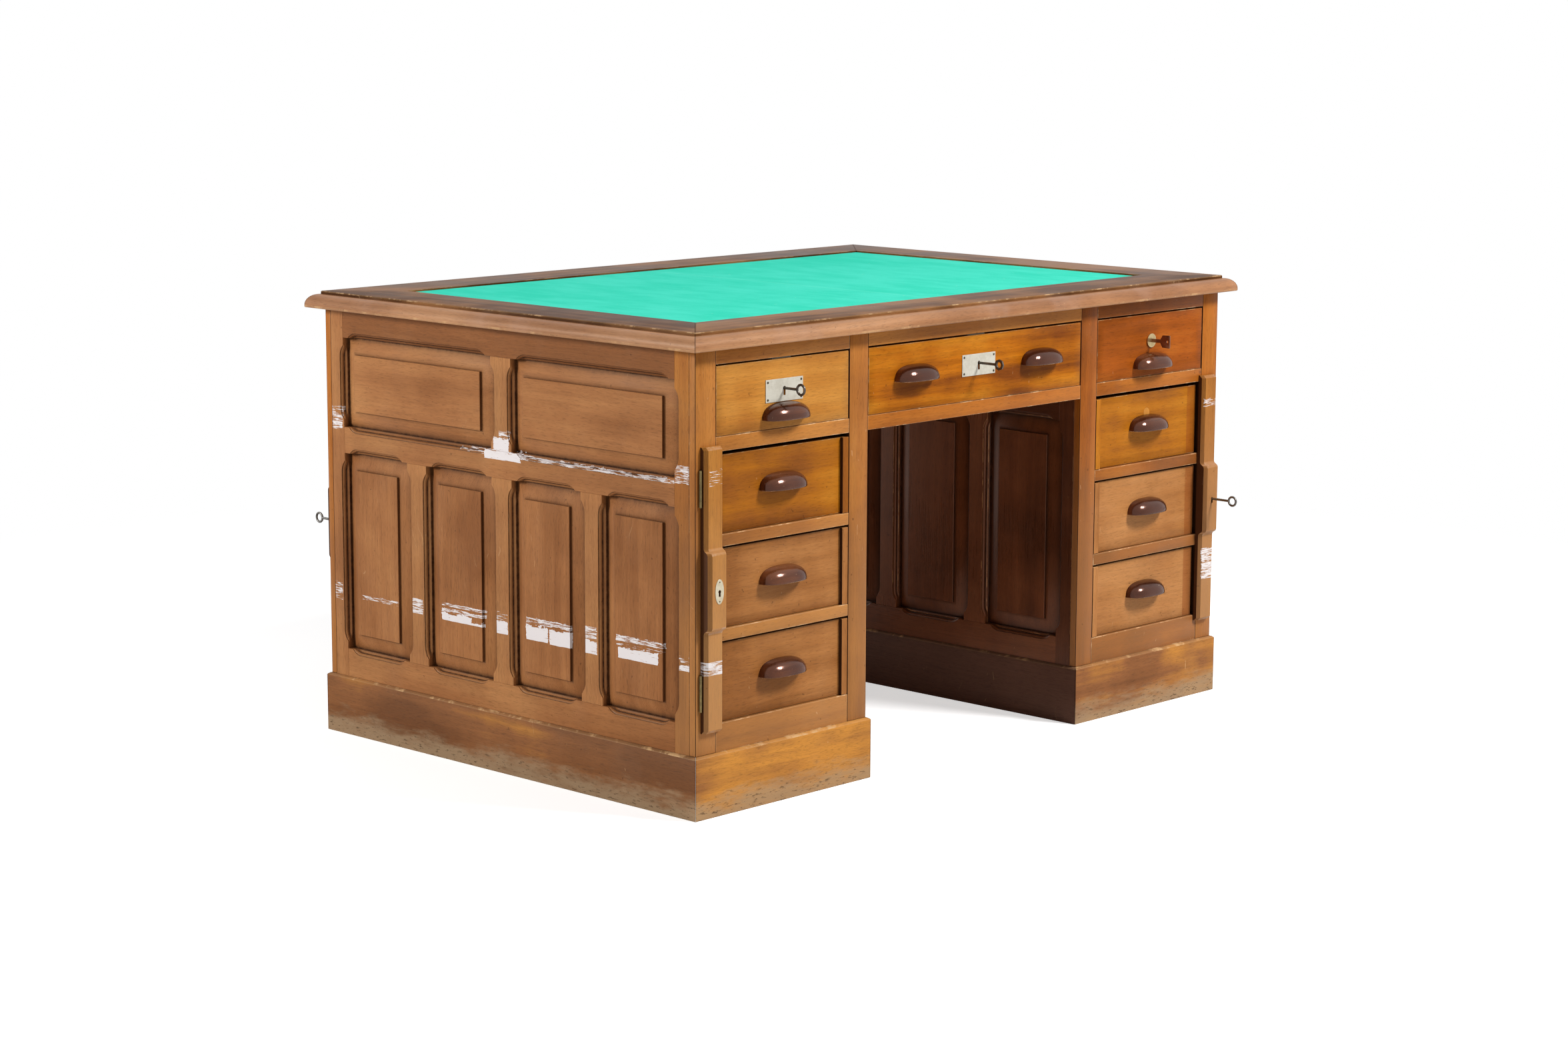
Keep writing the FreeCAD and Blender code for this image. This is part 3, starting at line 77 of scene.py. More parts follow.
class Sock:
    """One output of a node, ready for sums with numbers and other outputs."""

    def __init__(self, nodes: "Nodes", socket: bpy.types.NodeSocket) -> None:
        self.nodes = nodes
        self.socket = socket

    def worked(self, operation: str, first: Term, second: Term) -> "Sock":
        """Result of one Math node."""
        return self.nodes.make("ShaderNodeMath", {"operation": operation}, {0: first, 1: second})

    def __add__(self, other: Term) -> "Sock":
        """Sum."""
        return self.worked("ADD", self, other)

    __radd__ = __add__

    def __sub__(self, other: Term) -> "Sock":
        """Difference."""
        return self.worked("SUBTRACT", self, other)

    def __rsub__(self, other: Term) -> "Sock":
        """Difference from a number."""
        return self.worked("SUBTRACT", other, self)

    def __mul__(self, other: Term) -> "Sock":
        """Product."""
        return self.worked("MULTIPLY", self, other)

    def larger(self, other: Term) -> "Sock":
        """The larger of the two."""
        return self.worked("MAXIMUM", self, other)

    def size(self) -> "Sock":
        """The value without its sign."""
        return self.worked("ABSOLUTE", self, 0.0)


class Nodes:
    """One node tree that is being filled."""

    def __init__(self, tree: bpy.types.NodeTree) -> None:
        self.tree = tree
        tree.nodes.clear()

    def make(self, kind: str, settings: dict | None = None, values: dict | None = None,
             out: int | str = 0) -> Sock:
        """One node of any type.

        Args:
            kind: the node's type.
            settings: its settings, set first; "stops" holds a ramp's (place, colour) pairs.
            values: numbers, colours or links of its sockets, by name or number.
            out: name or number of the output that is wanted.

        Returns:
            That output.
        """
        node = self.tree.nodes.new(kind)
        for key, value in (settings or {}).items():
            if key == "stops":
                self.set_stops(node.color_ramp, value)
            else:
                setattr(node, key, value)
        for key, value in (values or {}).items():
            socket = node.inputs[key]
            if isinstance(value, Sock):
                self.tree.links.new(value.socket, socket)
            elif socket.type == "RGBA" and len(value) == 3:
                socket.default_value = (*value, 1.0)
            else:
                socket.default_value = value
        return Sock(self, node.outputs[out])

    @staticmethod
    def set_stops(ramp: bpy.types.ColorRamp, stops: Sequence[tuple[float, Colour]]) -> None:
        """Gives a ramp its stops."""
        while len(ramp.elements) < len(stops):
            ramp.elements.new(0.5)
        for element, (place, colour) in zip(ramp.elements, stops):
            element.position = place
            element.color = (*colour, 1.0)

    def joined(self, x: Term, y: Term, z: Term) -> Sock:
        """A vector from its three parts."""
        return self.make("ShaderNodeCombineXYZ", values={0: x, 1: y, 2: z})

    def closed(self, kind: str, last: Sock) -> None:
        """Links the last result to an output node."""
        self.tree.links.new(last.socket, self.tree.nodes.new(kind).inputs[0])


class MaterialNodes(Nodes):
    """The node tree of one new material."""

    def __init__(self, name: str) -> None:
        self.material = bpy.data.materials.new(name)
        self.material.use_nodes = True
        super().__init__(self.material.node_tree)

    def attribute(self, name: str, out: str) -> Sock:
        """An attribute of the mesh."""
        return self.make("ShaderNodeAttribute", {"attribute_name": name}, out=out)

    def object_place(self) -> Sock:
        """Place on the piece, in metres."""
        return self.make("ShaderNodeTexCoord", out="Object")

    def parts(self, vector: Sock) -> tuple[Sock, Sock, Sock]:
        """X, Y and Z of a vector."""
        first = self.make("ShaderNodeSeparateXYZ", values={0: vector})
        outputs = first.socket.node.outputs
        return first, Sock(self, outputs[1]), Sock(self, outputs[2])

    def moved(self, vector: Sock, by: Sock) -> Sock:
        """A vector with another added."""
        return self.make("ShaderNodeVectorMath", {"operation": "ADD"}, {0: vector, 1: by})

    def dimmed(self, colour: Sock, by: Term) -> Sock:
        """A colour times a number."""
        return self.make("ShaderNodeVectorMath", {"operation": "SCALE"}, {0: colour, "Scale": by})

    def noise(self, place: Sock, by: Point, detail: float = 2.0, rough: float = 0.5) -> Sock:
        """Noise on a place whose parts are multiplied first.

        Args:
            place: the place.
            by: features for each metre, along X, Y and Z.
            detail: how many finer layers it has.
            rough: how strong they are.

        Returns:
            The noise, from 0 to 1.
        """
        spread = self.make("ShaderNodeVectorMath", {"operation": "MULTIPLY"}, {0: place, 1: by})
        return self.make("ShaderNodeTexNoise", {"noise_dimensions": "3D"},
                         {"Vector": spread, "Scale": 1.0, "Detail": detail, "Roughness": rough})

    def between(self, value: Sock, low: float, high: float) -> Sock:
        """0 below low, 1 above high, with a soft change between."""
        return self.make("ShaderNodeMapRange", {"interpolation_type": "SMOOTHSTEP"},
                         {0: value, 1: low, 2: high, 3: 0.0, 4: 1.0})

    def mixed(self, share: Term, first: Sock | Colour, second: Sock | Colour) -> Sock:
        """The first colour turned into the second by a share."""
        return self.make("ShaderNodeMix", {"data_type": "RGBA", "blend_type": "MIX"},
                         {0: share, 6: first, 7: second}, out=2)

    def bump(self, height: Sock, distance: float, strength: float) -> Sock:
        """Normal of a surface with this height."""
        return self.make("ShaderNodeBump", values={"Strength": strength, "Distance": distance,
                                                   "Height": height})

    def surface(self, values: dict) -> bpy.types.Material:
        """Closes the tree with one Principled shader and gives the material."""
        self.closed("ShaderNodeOutputMaterial",
                    self.make("ShaderNodeBsdfPrincipled", values=values))
        return self.material


# Finishes


@dataclass(frozen=True)
class Patch:
    """A place with torn paper tape left on it, in metres, with how much is left."""

    low: float
    high: float
    bottom: float
    top: float
    left: float


@dataclass(frozen=True)
class WoodFinish:
    """Polished wood whose grain follows each board."""

    name: str
    deep: Colour
    body: Colour
    light: Colour
    streaks: float = 0.8
    lines: float = 0.42
    pores: float = 0.26
    ribbon: float = 0.30
    # Haze of the polish in patches; on the border, painted gloss streaks.
    haze_and_sheen: Colour = (0.30, 0.16, 0.09)
    haze_and_sheen_share: float = 0.10
    # Dark colour of stains, dirt and knocks, and of painted shade.
    stain_and_shade: Colour = (0.024, 0.008, 0.004)
    # Pale colour of worn edges and scratches, also of painted highlights.
    worn_and_highlight: Colour = (0.62, 0.38, 0.18)
    wear_and_highlight: float = 0.5
    rough: float = 0.42
    coat: float = 0.02
    coat_rough: float = 0.14
    specular: float = 0.16
    gleam: Colour = (1.0, 0.80, 0.60)
    scratches: float = 0.25
    knocks: float = 0.4
    tape: tuple[Patch, ...] = ()
    tape_across: int = 1
    scuffed_to: float = 0.0
    bloom: float = 0.0
    bloom_tint: Colour = (0.40, 0.21, 0.085)
    # X beyond which a redder, darker band runs to the end.
    band_beyond: float = 0.0

    def noises(self, nodes: MaterialNodes) -> dict[str, Sock]:
        """What the board and its noises say at each spot.

        Args:
            nodes: the tree to add to.

        Returns:
            The outputs by name.
        """
        run = nodes.attribute("grain", "Vector")
        wander = nodes.noise(run, (1.6, 9.0, 9.0)) - 0.5
        bent = nodes.moved(run, nodes.joined(0.0, wander * 0.035, wander * 0.035))
        place = nodes.object_place()
        return {
            "place": place,
            "broad": nodes.noise(bent, (1.8, 30.0, 30.0), 3.0, 0.55),
            "lines": nodes.noise(bent, (9.0, 260.0, 260.0), 3.0, 0.6),
            "pores": nodes.noise(bent, (70.0, 1100.0, 1100.0), 1.0),
            "ribbon": nodes.noise(run, (9.0, 6.0, 6.0)),
            "cloud": nodes.noise(place, (4.0, 4.0, 5.0), 3.0, 0.55),
            "veil": nodes.noise(place, (9.0, 9.0, 7.0), 3.0, 0.6),
            "flecks": nodes.noise(place, (95.0, 95.0, 95.0), 3.0, 0.65),
        } | {name: nodes.attribute(name, "Fac") for name in ("tone", "arris", "grime_and_shade")}

    def figured(self, nodes: MaterialNodes, at: dict[str, Sock]) -> Sock:
        """Colour of the clean wood, with its figure and pores."""
        figure = (0.5 + (at["broad"] - 0.5) * (1.1 * self.streaks) + (at["cloud"] - 0.5) * 1.3
                  + (at["ribbon"] - 0.5) * (1.6 * self.ribbon) + at["tone"])
        colour = nodes.make("ShaderNodeValToRGB", {"stops": [
            (0.12, self.deep), (0.5, self.body), (0.88, self.light)]}, {0: figure})
        return nodes.dimmed(colour, 1.0 + (at["lines"] - 0.5) * self.lines
                            - nodes.between(at["pores"], 0.56, 0.68) * self.pores)

    def faded(self, nodes: MaterialNodes, at: dict[str, Sock], colour: Sock) -> Sock:
        """The wood with its haze (on the border, painted gloss streaks), its bloom towards the
        floor and a redder, darker band at its end.

        Args:
            nodes: the tree to add to.
            at: the noises.
            colour: the clean wood.

        Returns:
            The faded wood.
        """
        # Haze: the polish's bloom in patches; on the border it paints gloss streaks as colour.
        colour = nodes.mixed(nodes.between(at["veil"], 0.5, 0.72) * self.haze_and_sheen_share, colour,
                             self.haze_and_sheen)
        if self.bloom:
            low = 1.0 - nodes.between(nodes.parts(at["place"])[2], 0.22, 0.62)
            colour = nodes.mixed(low * self.bloom, colour, self.bloom_tint)
        # A redder, darker band from this X to the drawer's end, beside the locking stile.
        if self.band_beyond:
            band_share = nodes.between(nodes.parts(at["place"])[0] + (at["veil"] - 0.5) * 0.004,
                                 self.band_beyond, self.band_beyond + 0.004)
            colour = nodes.mixed(band_share * 0.55, colour, (0.25, 0.055, 0.008))
        return colour

    def aged(self, nodes: MaterialNodes, at: dict[str, Sock], colour: Sock) -> Sock:
        """The wood with its dirt and painted shade, rubbed edges and painted highlights, scratches
        and knocks.

        Args:
            nodes: the tree to add to.
            at: the noises.
            colour: the faded wood.

        Returns:
            The aged wood.
        """
        place, veil, arris, grime_and_shade = at["place"], at["veil"], at["arris"], at["grime_and_shade"]
        flecks = at["flecks"] - 0.5
        # Dirt and painted shade: dark in creases, recesses and gaps, and on faces marked dark.
        colour = nodes.mixed((grime_and_shade + flecks * grime_and_shade).larger(arris * -0.95), colour, self.stain_and_shade)
        rubbed_and_highlight = nodes.between(nodes.noise(place, (24.0, 24.0, 24.0), 3.0, 0.6) + flecks * 0.5,
                               0.50, 0.68)
        # Worn edges, and painted highlights on the edges marked for them, get the pale colour.
        colour = nodes.mixed(arris.larger(0.0) * (rubbed_and_highlight * 0.8 + 0.2) * self.wear_and_highlight, colour,
                             self.worn_and_highlight)
        bend = nodes.joined(0.0, (at["cloud"] - 0.5) * 0.2, (veil - 0.5) * 0.3)
        scratch = nodes.noise(nodes.moved(place, bend), (150.0, 340.0, 28.0), 1.0)
        marks = nodes.between(scratch, 0.74, 0.78) * nodes.between(veil, 0.50, 0.62)
        colour = nodes.mixed(marks * self.scratches, colour, self.worn_and_highlight)
        spots = nodes.between(nodes.noise(place, (130.0, 130.0, 130.0), 1.0), 0.76, 0.79)
        return nodes.mixed(spots * self.knocks, colour, self.stain_and_shade)

    def scuffed(self, nodes: MaterialNodes, place: Sock, colour: Sock) -> Sock:
        """The wood rubbed bare and dusty towards the floor.

        Args:
            nodes: the tree to add to.
            place: place on the piece.
            colour: the aged wood.

        Returns:
            The wood with its scuffed foot.
        """
        along = nodes.noise(place, (14.0, 14.0, 60.0), 4.0, 0.65)
        bare = 1.0 - nodes.between(nodes.parts(place)[2] + (along - 0.5) * 0.09, 0.004,
                                   self.scuffed_to)
        colour = nodes.mixed(bare * 0.75, colour, (0.36, 0.25, 0.145))
        pits = nodes.between(nodes.noise(place, (70.0, 70.0, 300.0), 3.0, 0.7), 0.55, 0.68)
        return nodes.mixed(pits * (bare * 0.6 + 0.2), colour, (0.07, 0.038, 0.02))

    def torn_tape(self, nodes: MaterialNodes, place: Sock) -> Sock:
        """Share of the surface still covered by torn paper tape.

        Args:
            nodes: the tree to add to.
            place: place on the piece.

        Returns:
            1 where paper is left, 0 on bare wood.
        """
        parts = nodes.parts(place)
        across, up = parts[self.tape_across], parts[2]
        edge = nodes.noise(place, (45.0, 45.0, 150.0), 4.0, 0.7) - 0.5
        threads = nodes.noise(place, (34.0, 34.0, 560.0), 3.0, 0.6) + edge * 0.5
        total: Sock | None = None
        for patch in self.tape:
            middle, half = (patch.low + patch.high) / 2, (patch.high - patch.low) / 2
            ragged = 0.026 if patch.left > 0.8 else 0.012
            beside = (across - middle).size() - half + edge * 0.010
            above = up - patch.top + edge * ragged
            beyond = beside.larger(patch.bottom - up).larger(above)
            torn = threads - beyond.larger(-0.0005) * 400.0 + (patch.left * 0.52 - 0.99)
            total = torn if total is None else total.larger(torn)
        return nodes.between(total, -0.04, 0.05) * 0.92

    def material(self) -> bpy.types.Material:
        """Builds the material.

        Returns:
            The finished material.
        """
        nodes = MaterialNodes(self.name)
        at = self.noises(nodes)
        colour = self.aged(nodes, at, self.faded(nodes, at, self.figured(nodes, at)))
        rough = (self.rough + (at["cloud"] - 0.5) * 0.25 + (at["lines"] - 0.5) * 0.12
                 + at["grime_and_shade"] * 0.2)
        height = at["lines"] * 0.35 + at["broad"] * 0.4 - at["pores"] * 0.2
        if self.scuffed_to:
            colour = self.scuffed(nodes, at["place"], colour)
        if self.tape:
            left = self.torn_tape(nodes, at["place"])
            colour = nodes.mixed(left, colour, (0.80, 0.76, 0.76))
            rough = rough + left * 0.3
            height = height + left * 0.8
        return nodes.surface({
            "Base Color": colour, "Roughness": rough, "Coat Weight": self.coat,
            "Coat Roughness": self.coat_rough, "Specular IOR Level": self.specular,
            "Specular Tint": (*self.gleam, 1.0), "Normal": nodes.bump(height, 0.0007, 0.5)})


@dataclass(frozen=True)
class BareWood:
    """Unpolished wood inside the desk, with its grain along Y."""

    name: str = "bare_wood"
    deep: Colour = (0.30, 0.185, 0.10)
    light: Colour = (0.50, 0.345, 0.205)

    def material(self) -> bpy.types.Material:
        """Builds the material."""
        nodes = MaterialNodes(self.name)
        place = nodes.object_place()
        broad = nodes.noise(place, (60.0, 2.2, 60.0), 3.0, 0.6)
        lines = nodes.noise(place, (500.0, 14.0, 500.0), rough=0.6)
        cloud = nodes.noise(place, (7.0, 7.0, 7.0))
        colour = nodes.mixed(nodes.between(broad + (cloud - 0.5) * 0.5, 0.3, 0.7),
                             self.deep, self.light)
        colour = nodes.dimmed(colour, 1.0 + (lines - 0.5) * 0.5)
        return nodes.surface({"Base Color": colour, "Roughness": 0.66 + lines * 0.15,
                              "Normal": nodes.bump(lines + broad * 0.4, 0.0006, 0.4)})


@dataclass(frozen=True)
class Baize:
    """Woollen writing cloth."""

    name: str = "green_baize"
    body: Colour = (0.036, 0.67, 0.47)
    pale: Colour = (0.085, 0.77, 0.59)
    seam_x: float = 0.0045

    def material(self) -> bpy.types.Material:
        """Builds the material."""
        nodes = MaterialNodes(self.name)
        place = nodes.object_place()
        fibres = nodes.noise(place, (900.0, 1300.0, 900.0), 3.0, 0.7)
        nap = nodes.noise(place, (26.0, 9.0, 20.0), 4.0, 0.6)
        cloud = nodes.noise(place, (3.0, 3.5, 3.0))
        colour = nodes.mixed(nodes.between(nap * 0.6 + cloud * 0.4, 0.36, 0.64) * 0.7,
                             self.body, self.pale)
        colour = nodes.dimmed(colour, 1.0 + (fibres - 0.5) * 0.28)
        seam = 1.0 - nodes.between((nodes.parts(place)[0] - self.seam_x).size(), 0.0008, 0.0035)
        colour = nodes.mixed(seam * 0.35, colour, (0.22, 0.84, 0.68))
        dust = nodes.between(nodes.noise(place, (75.0, 75.0, 75.0), rough=0.8), 0.73, 0.77)
        colour = nodes.mixed(dust * 0.55, colour, (0.55, 0.74, 0.60))
        return nodes.surface({"Base Color": colour, "Roughness": 0.86 + (nap - 0.5) * 0.1,
                              "Specular IOR Level": 0.08,
                              "Normal": nodes.bump(fibres + nap * 0.6, 0.0006, 0.5)})


@dataclass(frozen=True)
class MetalFinish:
    """Handled metal with a tarnish in patches."""

    name: str
    bright: Colour
    dull: Colour
    tarnish: float = 0.5
    rough: float = 0.34
    brushed: float = 0.0
    metallic: float = 1.0

    def material(self) -> bpy.types.Material:
        """Builds the material.

        Returns:
            The finished material.
        """
        nodes = MaterialNodes(self.name)
        place = nodes.object_place()
        spots = nodes.noise(place, (160.0, 160.0, 160.0), 4.0, 0.65)
        cloud = nodes.noise(place, (38.0, 38.0, 38.0), 3.0, 0.6)
        brush = nodes.noise(place, (60.0, 900.0, 2200.0), rough=0.6)
        share = nodes.between(spots * 0.5 + cloud * 0.5, 0.40, 0.62)
        colour = nodes.mixed(share * self.tarnish, self.bright, self.dull)
        colour = nodes.dimmed(colour, 1.0 + (brush - 0.5) * self.brushed)
        rough = self.rough + (cloud - 0.5) * 0.3 + (brush - 0.5) * 0.3 * self.brushed
        return nodes.surface({"Base Color": colour, "Roughness": rough,
                              "Metallic": self.metallic - share * 0.35 * self.tarnish,
                              "Normal": nodes.bump(spots + brush * self.brushed, 0.0002, 0.3)})


END_TAPE = tuple(Patch(*row) for row in (
    (-0.019, 0.019, 0.546, 0.568, 0.94), (-0.019, 0.006, 0.571, 0.580, 0.60),
    (-0.047, 0.042, 0.531, 0.546, 0.92), (-0.410, -0.047, 0.5365, 0.5435, 0.60),
    (0.042, 0.108, 0.537, 0.5455, 0.45), (-0.456, -0.410, 0.538, 0.568, 0.50),
    (0.413, 0.456, 0.540, 0.582, 0.52), (0.421, 0.456, 0.238, 0.270, 0.44),
    (0.272, 0.369, 0.246, 0.2545, 0.50), (0.205, 0.233, 0.2415, 0.268, 0.62),
    (0.080, 0.157, 0.2405, 0.253, 0.97), (0.050, 0.080, 0.2405, 0.247, 0.90),
    (0.047, 0.157, 0.255, 0.262, 0.60), (0.047, 0.157, 0.265, 0.271, 0.62),
    (-0.012, 0.018, 0.2375, 0.259, 0.94), (-0.012, 0.018, 0.261, 0.276, 0.42),
    (-0.110, -0.057, 0.2375, 0.262, 0.97), (-0.165, -0.114, 0.2365, 0.261, 0.97),
    (-0.165, -0.057, 0.265, 0.276, 0.58), (-0.229, -0.200, 0.2355, 0.258, 0.90),
    (-0.229, -0.200, 0.260, 0.281, 0.62), (-0.370, -0.278, 0.239, 0.257, 0.96),
    (-0.384, -0.273, 0.259, 0.2635, 0.45), (-0.384, -0.273, 0.2665, 0.277, 0.62),
    (-0.456, -0.419, 0.2395, 0.250, 0.84), (-0.456, -0.419, 0.252, 0.264, 0.42)))
STILE_TAPE = tuple(Patch(*row) for row in (
    (-0.660, -0.628, 0.536, 0.562, 0.40), (-0.668, -0.628, 0.234, 0.256, 0.62),
    (0.630, 0.667, 0.218, 0.276, 0.66), (0.628, 0.667, 0.541, 0.556, 0.48)))


class Finish(Enum):
    """Every finish of the desk."""

    END = WoodFinish("polished_end", (0.23, 0.082, 0.024), (0.345, 0.138, 0.046),
                     (0.43, 0.190, 0.066))
    TAPED_END = replace(END, name="taped_end", tape=END_TAPE)
    # Kneehole wood: darker partly for its own unfaded polish and partly as painted shade inside
    # the kneehole; its worn colour also paints highlights on the moulding edges.
    KNEEHOLE = WoodFinish("kneehole_wood", (0.085, 0.024, 0.009), (0.160, 0.045, 0.015),
                          (0.22, 0.070, 0.025), rough=0.30, coat=0.12, wear_and_highlight=0.9,
                          haze_and_sheen=(0.15, 0.075, 0.05), specular=0.35, gleam=(1.0, 0.62, 0.42),
                          worn_and_highlight=(0.50, 0.24, 0.10))
    FRAME = WoodFinish("frame_wood", (0.22, 0.070, 0.015), (0.36, 0.125, 0.022),
                       (0.47, 0.185, 0.036), wear_and_highlight=1.0, streaks=1.0,
                       worn_and_highlight=(0.74, 0.48, 0.26), bloom=0.35)
    DARKER_FRAME = replace(FRAME, name="darker_frame_wood", deep=(0.15, 0.038, 0.004),
                           body=(0.27, 0.070, 0.006), light=(0.40, 0.125, 0.015))
    TAPED_FRAME = replace(FRAME, name="taped_frame", tape=END_TAPE)
    DRAWER = WoodFinish("drawer_front", (0.28, 0.100, 0.022), (0.41, 0.165, 0.045),
                        (0.49, 0.215, 0.068), streaks=1.0, ribbon=0.6, haze_and_sheen_share=0.05,
                        wear_and_highlight=0.7, band_beyond=0.597)
    SECOND_DRAWER = WoodFinish("second_drawer_front", (0.25, 0.075, 0.009),
                               (0.40, 0.130, 0.007), (0.50, 0.185, 0.014), streaks=1.0,
                               ribbon=0.6, haze_and_sheen_share=0.0, wear_and_highlight=0.7, specular=0.12,
                               gleam=(1.0, 0.6, 0.3), band_beyond=0.597)
    TOP_DRAWER = WoodFinish("top_drawer_front", (0.33, 0.105, 0.012), (0.47, 0.180, 0.024),
                            (0.58, 0.250, 0.042), streaks=1.1, ribbon=0.7, haze_and_sheen_share=0.0,
                            wear_and_highlight=0.7)
    CENTRE = WoodFinish("centre_drawer_front", (0.19, 0.046, 0.003), (0.41, 0.118, 0.004),
                        (0.56, 0.200, 0.012), streaks=1.5, lines=0.7, ribbon=0.6,
                        haze_and_sheen_share=0.0, wear_and_highlight=0.7, specular=0.10, coat=0.0,
                        gleam=(1.0, 0.6, 0.3))
    REDDER = WoodFinish("redder_drawer_front", (0.20, 0.045, 0.003), (0.34, 0.078, 0.006),
                        (0.45, 0.130, 0.016), streaks=0.9, lines=0.5, ribbon=0.5,
                        haze_and_sheen_share=0.0, wear_and_highlight=0.7, specular=0.10, coat=0.0,
                        gleam=(1.0, 0.6, 0.3))
    # Here the dark colour is mostly the painted shade on the stile's sides.
    STILE = WoodFinish("locking_stile_wood", (0.27, 0.090, 0.012), (0.36, 0.132, 0.018),
                       (0.45, 0.185, 0.032), wear_and_highlight=0.7, worn_and_highlight=(0.52, 0.33, 0.22),
                       stain_and_shade=(0.050, 0.016, 0.007), bloom=0.45, bloom_tint=(0.50, 0.28, 0.13))
    TAPED_STILE = replace(STILE, name="taped_stile", tape=STILE_TAPE, tape_across=0)
    # Border: the light stop and strong haze paint its gloss streaks as colour, with its own
    # specular kept low.
    BORDER = WoodFinish("border_wood", (0.040, 0.013, 0.003), (0.080, 0.028, 0.007),
                        (0.24, 0.105, 0.038), rough=0.40, streaks=1.1, ribbon=0.5,
                        coat_rough=0.10, specular=0.03, haze_and_sheen=(0.20, 0.13, 0.09),
                        haze_and_sheen_share=0.30, wear_and_highlight=0.9, worn_and_highlight=(0.50, 0.31, 0.16), scratches=0.6)
    MOULDING = WoodFinish("edge_moulding_wood", (0.21, 0.084, 0.034), (0.335, 0.148, 0.063),
                          (0.45, 0.222, 0.104), rough=0.38, coat=0.06, haze_and_sheen=(0.44, 0.27, 0.20),
                          haze_and_sheen_share=0.25, wear_and_highlight=0.5, scratches=0.45, specular=0.25)
    PLINTH = WoodFinish("plinth_wood", (0.15, 0.053, 0.016), (0.25, 0.094, 0.030),
                        (0.54, 0.225, 0.038), rough=0.5, coat=0.03, wear_and_highlight=0.9, scratches=0.6,
                        scuffed_to=0.05)
    # Plinth boards facing the kneehole: darker as painted shade.
    INNER_PLINTH = WoodFinish("inner_plinth_wood", (0.10, 0.044, 0.028),
                              (0.115, 0.050, 0.032), (0.14, 0.062, 0.040), streaks=0.5,
                              rough=0.5, wear_and_highlight=0.6, haze_and_sheen_share=0.0)
    PULL = WoodFinish("pull_wood", (0.022, 0.005, 0.002), (0.050, 0.013, 0.005),
                      (0.135, 0.042, 0.014), rough=0.14, coat=0.08, coat_rough=0.05,
                      wear_and_highlight=0.9, worn_and_highlight=(0.55, 0.33, 0.18), haze_and_sheen_share=0.0, scratches=0.2,
                      specular=0.70, streaks=1.3, ribbon=0.7, gleam=(1.0, 0.54, 0.42))
    LINING = WoodFinish("drawer_lining", (0.30, 0.185, 0.10), (0.42, 0.28, 0.165),
                        (0.52, 0.37, 0.225), rough=0.7, coat=0.0, wear_and_highlight=0.2, scratches=0.1)
    BARE = BareWood()
    BAIZE = Baize()
    NICKEL = MetalFinish("brushed_nickel", (0.56, 0.53, 0.45), (0.38, 0.34, 0.26), 0.45, 0.62,
                         0.16, 0.25)
    STEEL = MetalFinish("handled_steel", (0.22, 0.21, 0.195), (0.075, 0.065, 0.055), 0.7, 0.34)
    DARK_STEEL = MetalFinish("blackened_steel", (0.12, 0.105, 0.09), (0.045, 0.035, 0.028),
                             0.7, 0.34)
    COPPER = MetalFinish("copper_key", (0.28, 0.14, 0.085), (0.10, 0.048, 0.030), 0.6, 0.32)
    BRASS = MetalFinish("tarnished_brass", (0.24, 0.18, 0.075), (0.09, 0.065, 0.03), 0.7, 0.42)
    PLATE = MetalFinish("pale_brass_plate", (0.60, 0.54, 0.40), (0.38, 0.31, 0.18), 0.4, 0.58,
                        0.1, 0.3)
    CYLINDER = MetalFinish("cylinder_brass", (0.60, 0.46, 0.24), (0.26, 0.18, 0.08), 0.5, 0.3)
    SCREW = MetalFinish("screw_heads", (0.10, 0.085, 0.065), (0.03, 0.024, 0.018), 0.7, 0.45)

    @property
    def made(self) -> bpy.types.Material:
        """The finish's material, made once."""
        return bpy.data.materials.get(self.value.name) or self.value.material()


# Mesh tools


class Run(Enum):
    """Which way the grain of a board runs: order of the axes along, across and through it."""

    X = (0, 2, 1)
    Y = (1, 2, 0)
    Z = (2, 0, 1)


@dataclass
class Shell:
    """One closed surface in millimetres.

    Its arris is up to 1 on faces of worn edges and painted highlights, and down to -1 on faces
    painted dark as shade or at a dark joint; at each point it holds how much dirt and painted
    shade lie there.
    """

    points: list[Vector]
    faces: list[Face]
    arris: list[float]
    grime_and_shade: list[float] = field(default_factory=list)

    def darkened_for_shade_and_joints(self, joints: bool, darkest: Callable[[Vector], bool],
                amount: float = 1.0) -> "Shell":
        """The same shell with faces painted dark: painted shade, and dark joints.

        Args:
            joints: True darkens its eased edges too, as at a dark joint.
            darkest: which faces are painted dark, as shade or at a joint, by their direction.
            amount: how dark they are painted.

        Returns:
            The shell itself.
        """
        for index, face in enumerate(self.faces):
            if darkest(normal([self.points[corner] for corner in face])):
                self.arris[index] = -amount
            elif joints:
                self.arris[index] = -abs(self.arris[index])
        return self

    def dirtied(self, amount: Callable[[Vector], float]) -> "Shell":
        """The same shell with dirt by place."""
        self.grime_and_shade = [amount(point) for point in self.points]
        return self


def loft(sections: Sequence[Sequence[Vector]], arris: Iterable[int] = ()) -> Shell:
    """Joins closed outlines of the same count into a shell with flat ends.

    Args:
        sections: the outlines, in order.
        arris: numbers of the outline's runs that get the worn colour: worn edges, and painted
            highlights.

    Returns:
        The closed shell.
    """
    count = len(sections[0])
    worn_and_highlight = set(arris)
    points = [point for section in sections for point in section]
    faces: list[Face] = []
    marks: list[float] = []
    for row in range(len(sections) - 1):
        for index in range(count):
            after = (index + 1) % count
            faces.append((row * count + index, row * count + after,
                          (row + 1) * count + after, (row + 1) * count + index))
            marks.append(1.0 if index in worn_and_highlight else 0.0)
    faces.append(tuple(reversed(range(count))))
    faces.append(tuple(range((len(sections) - 1) * count, len(sections) * count)))
    marks += [0.0, 0.0]
    return Shell(points, faces, marks)


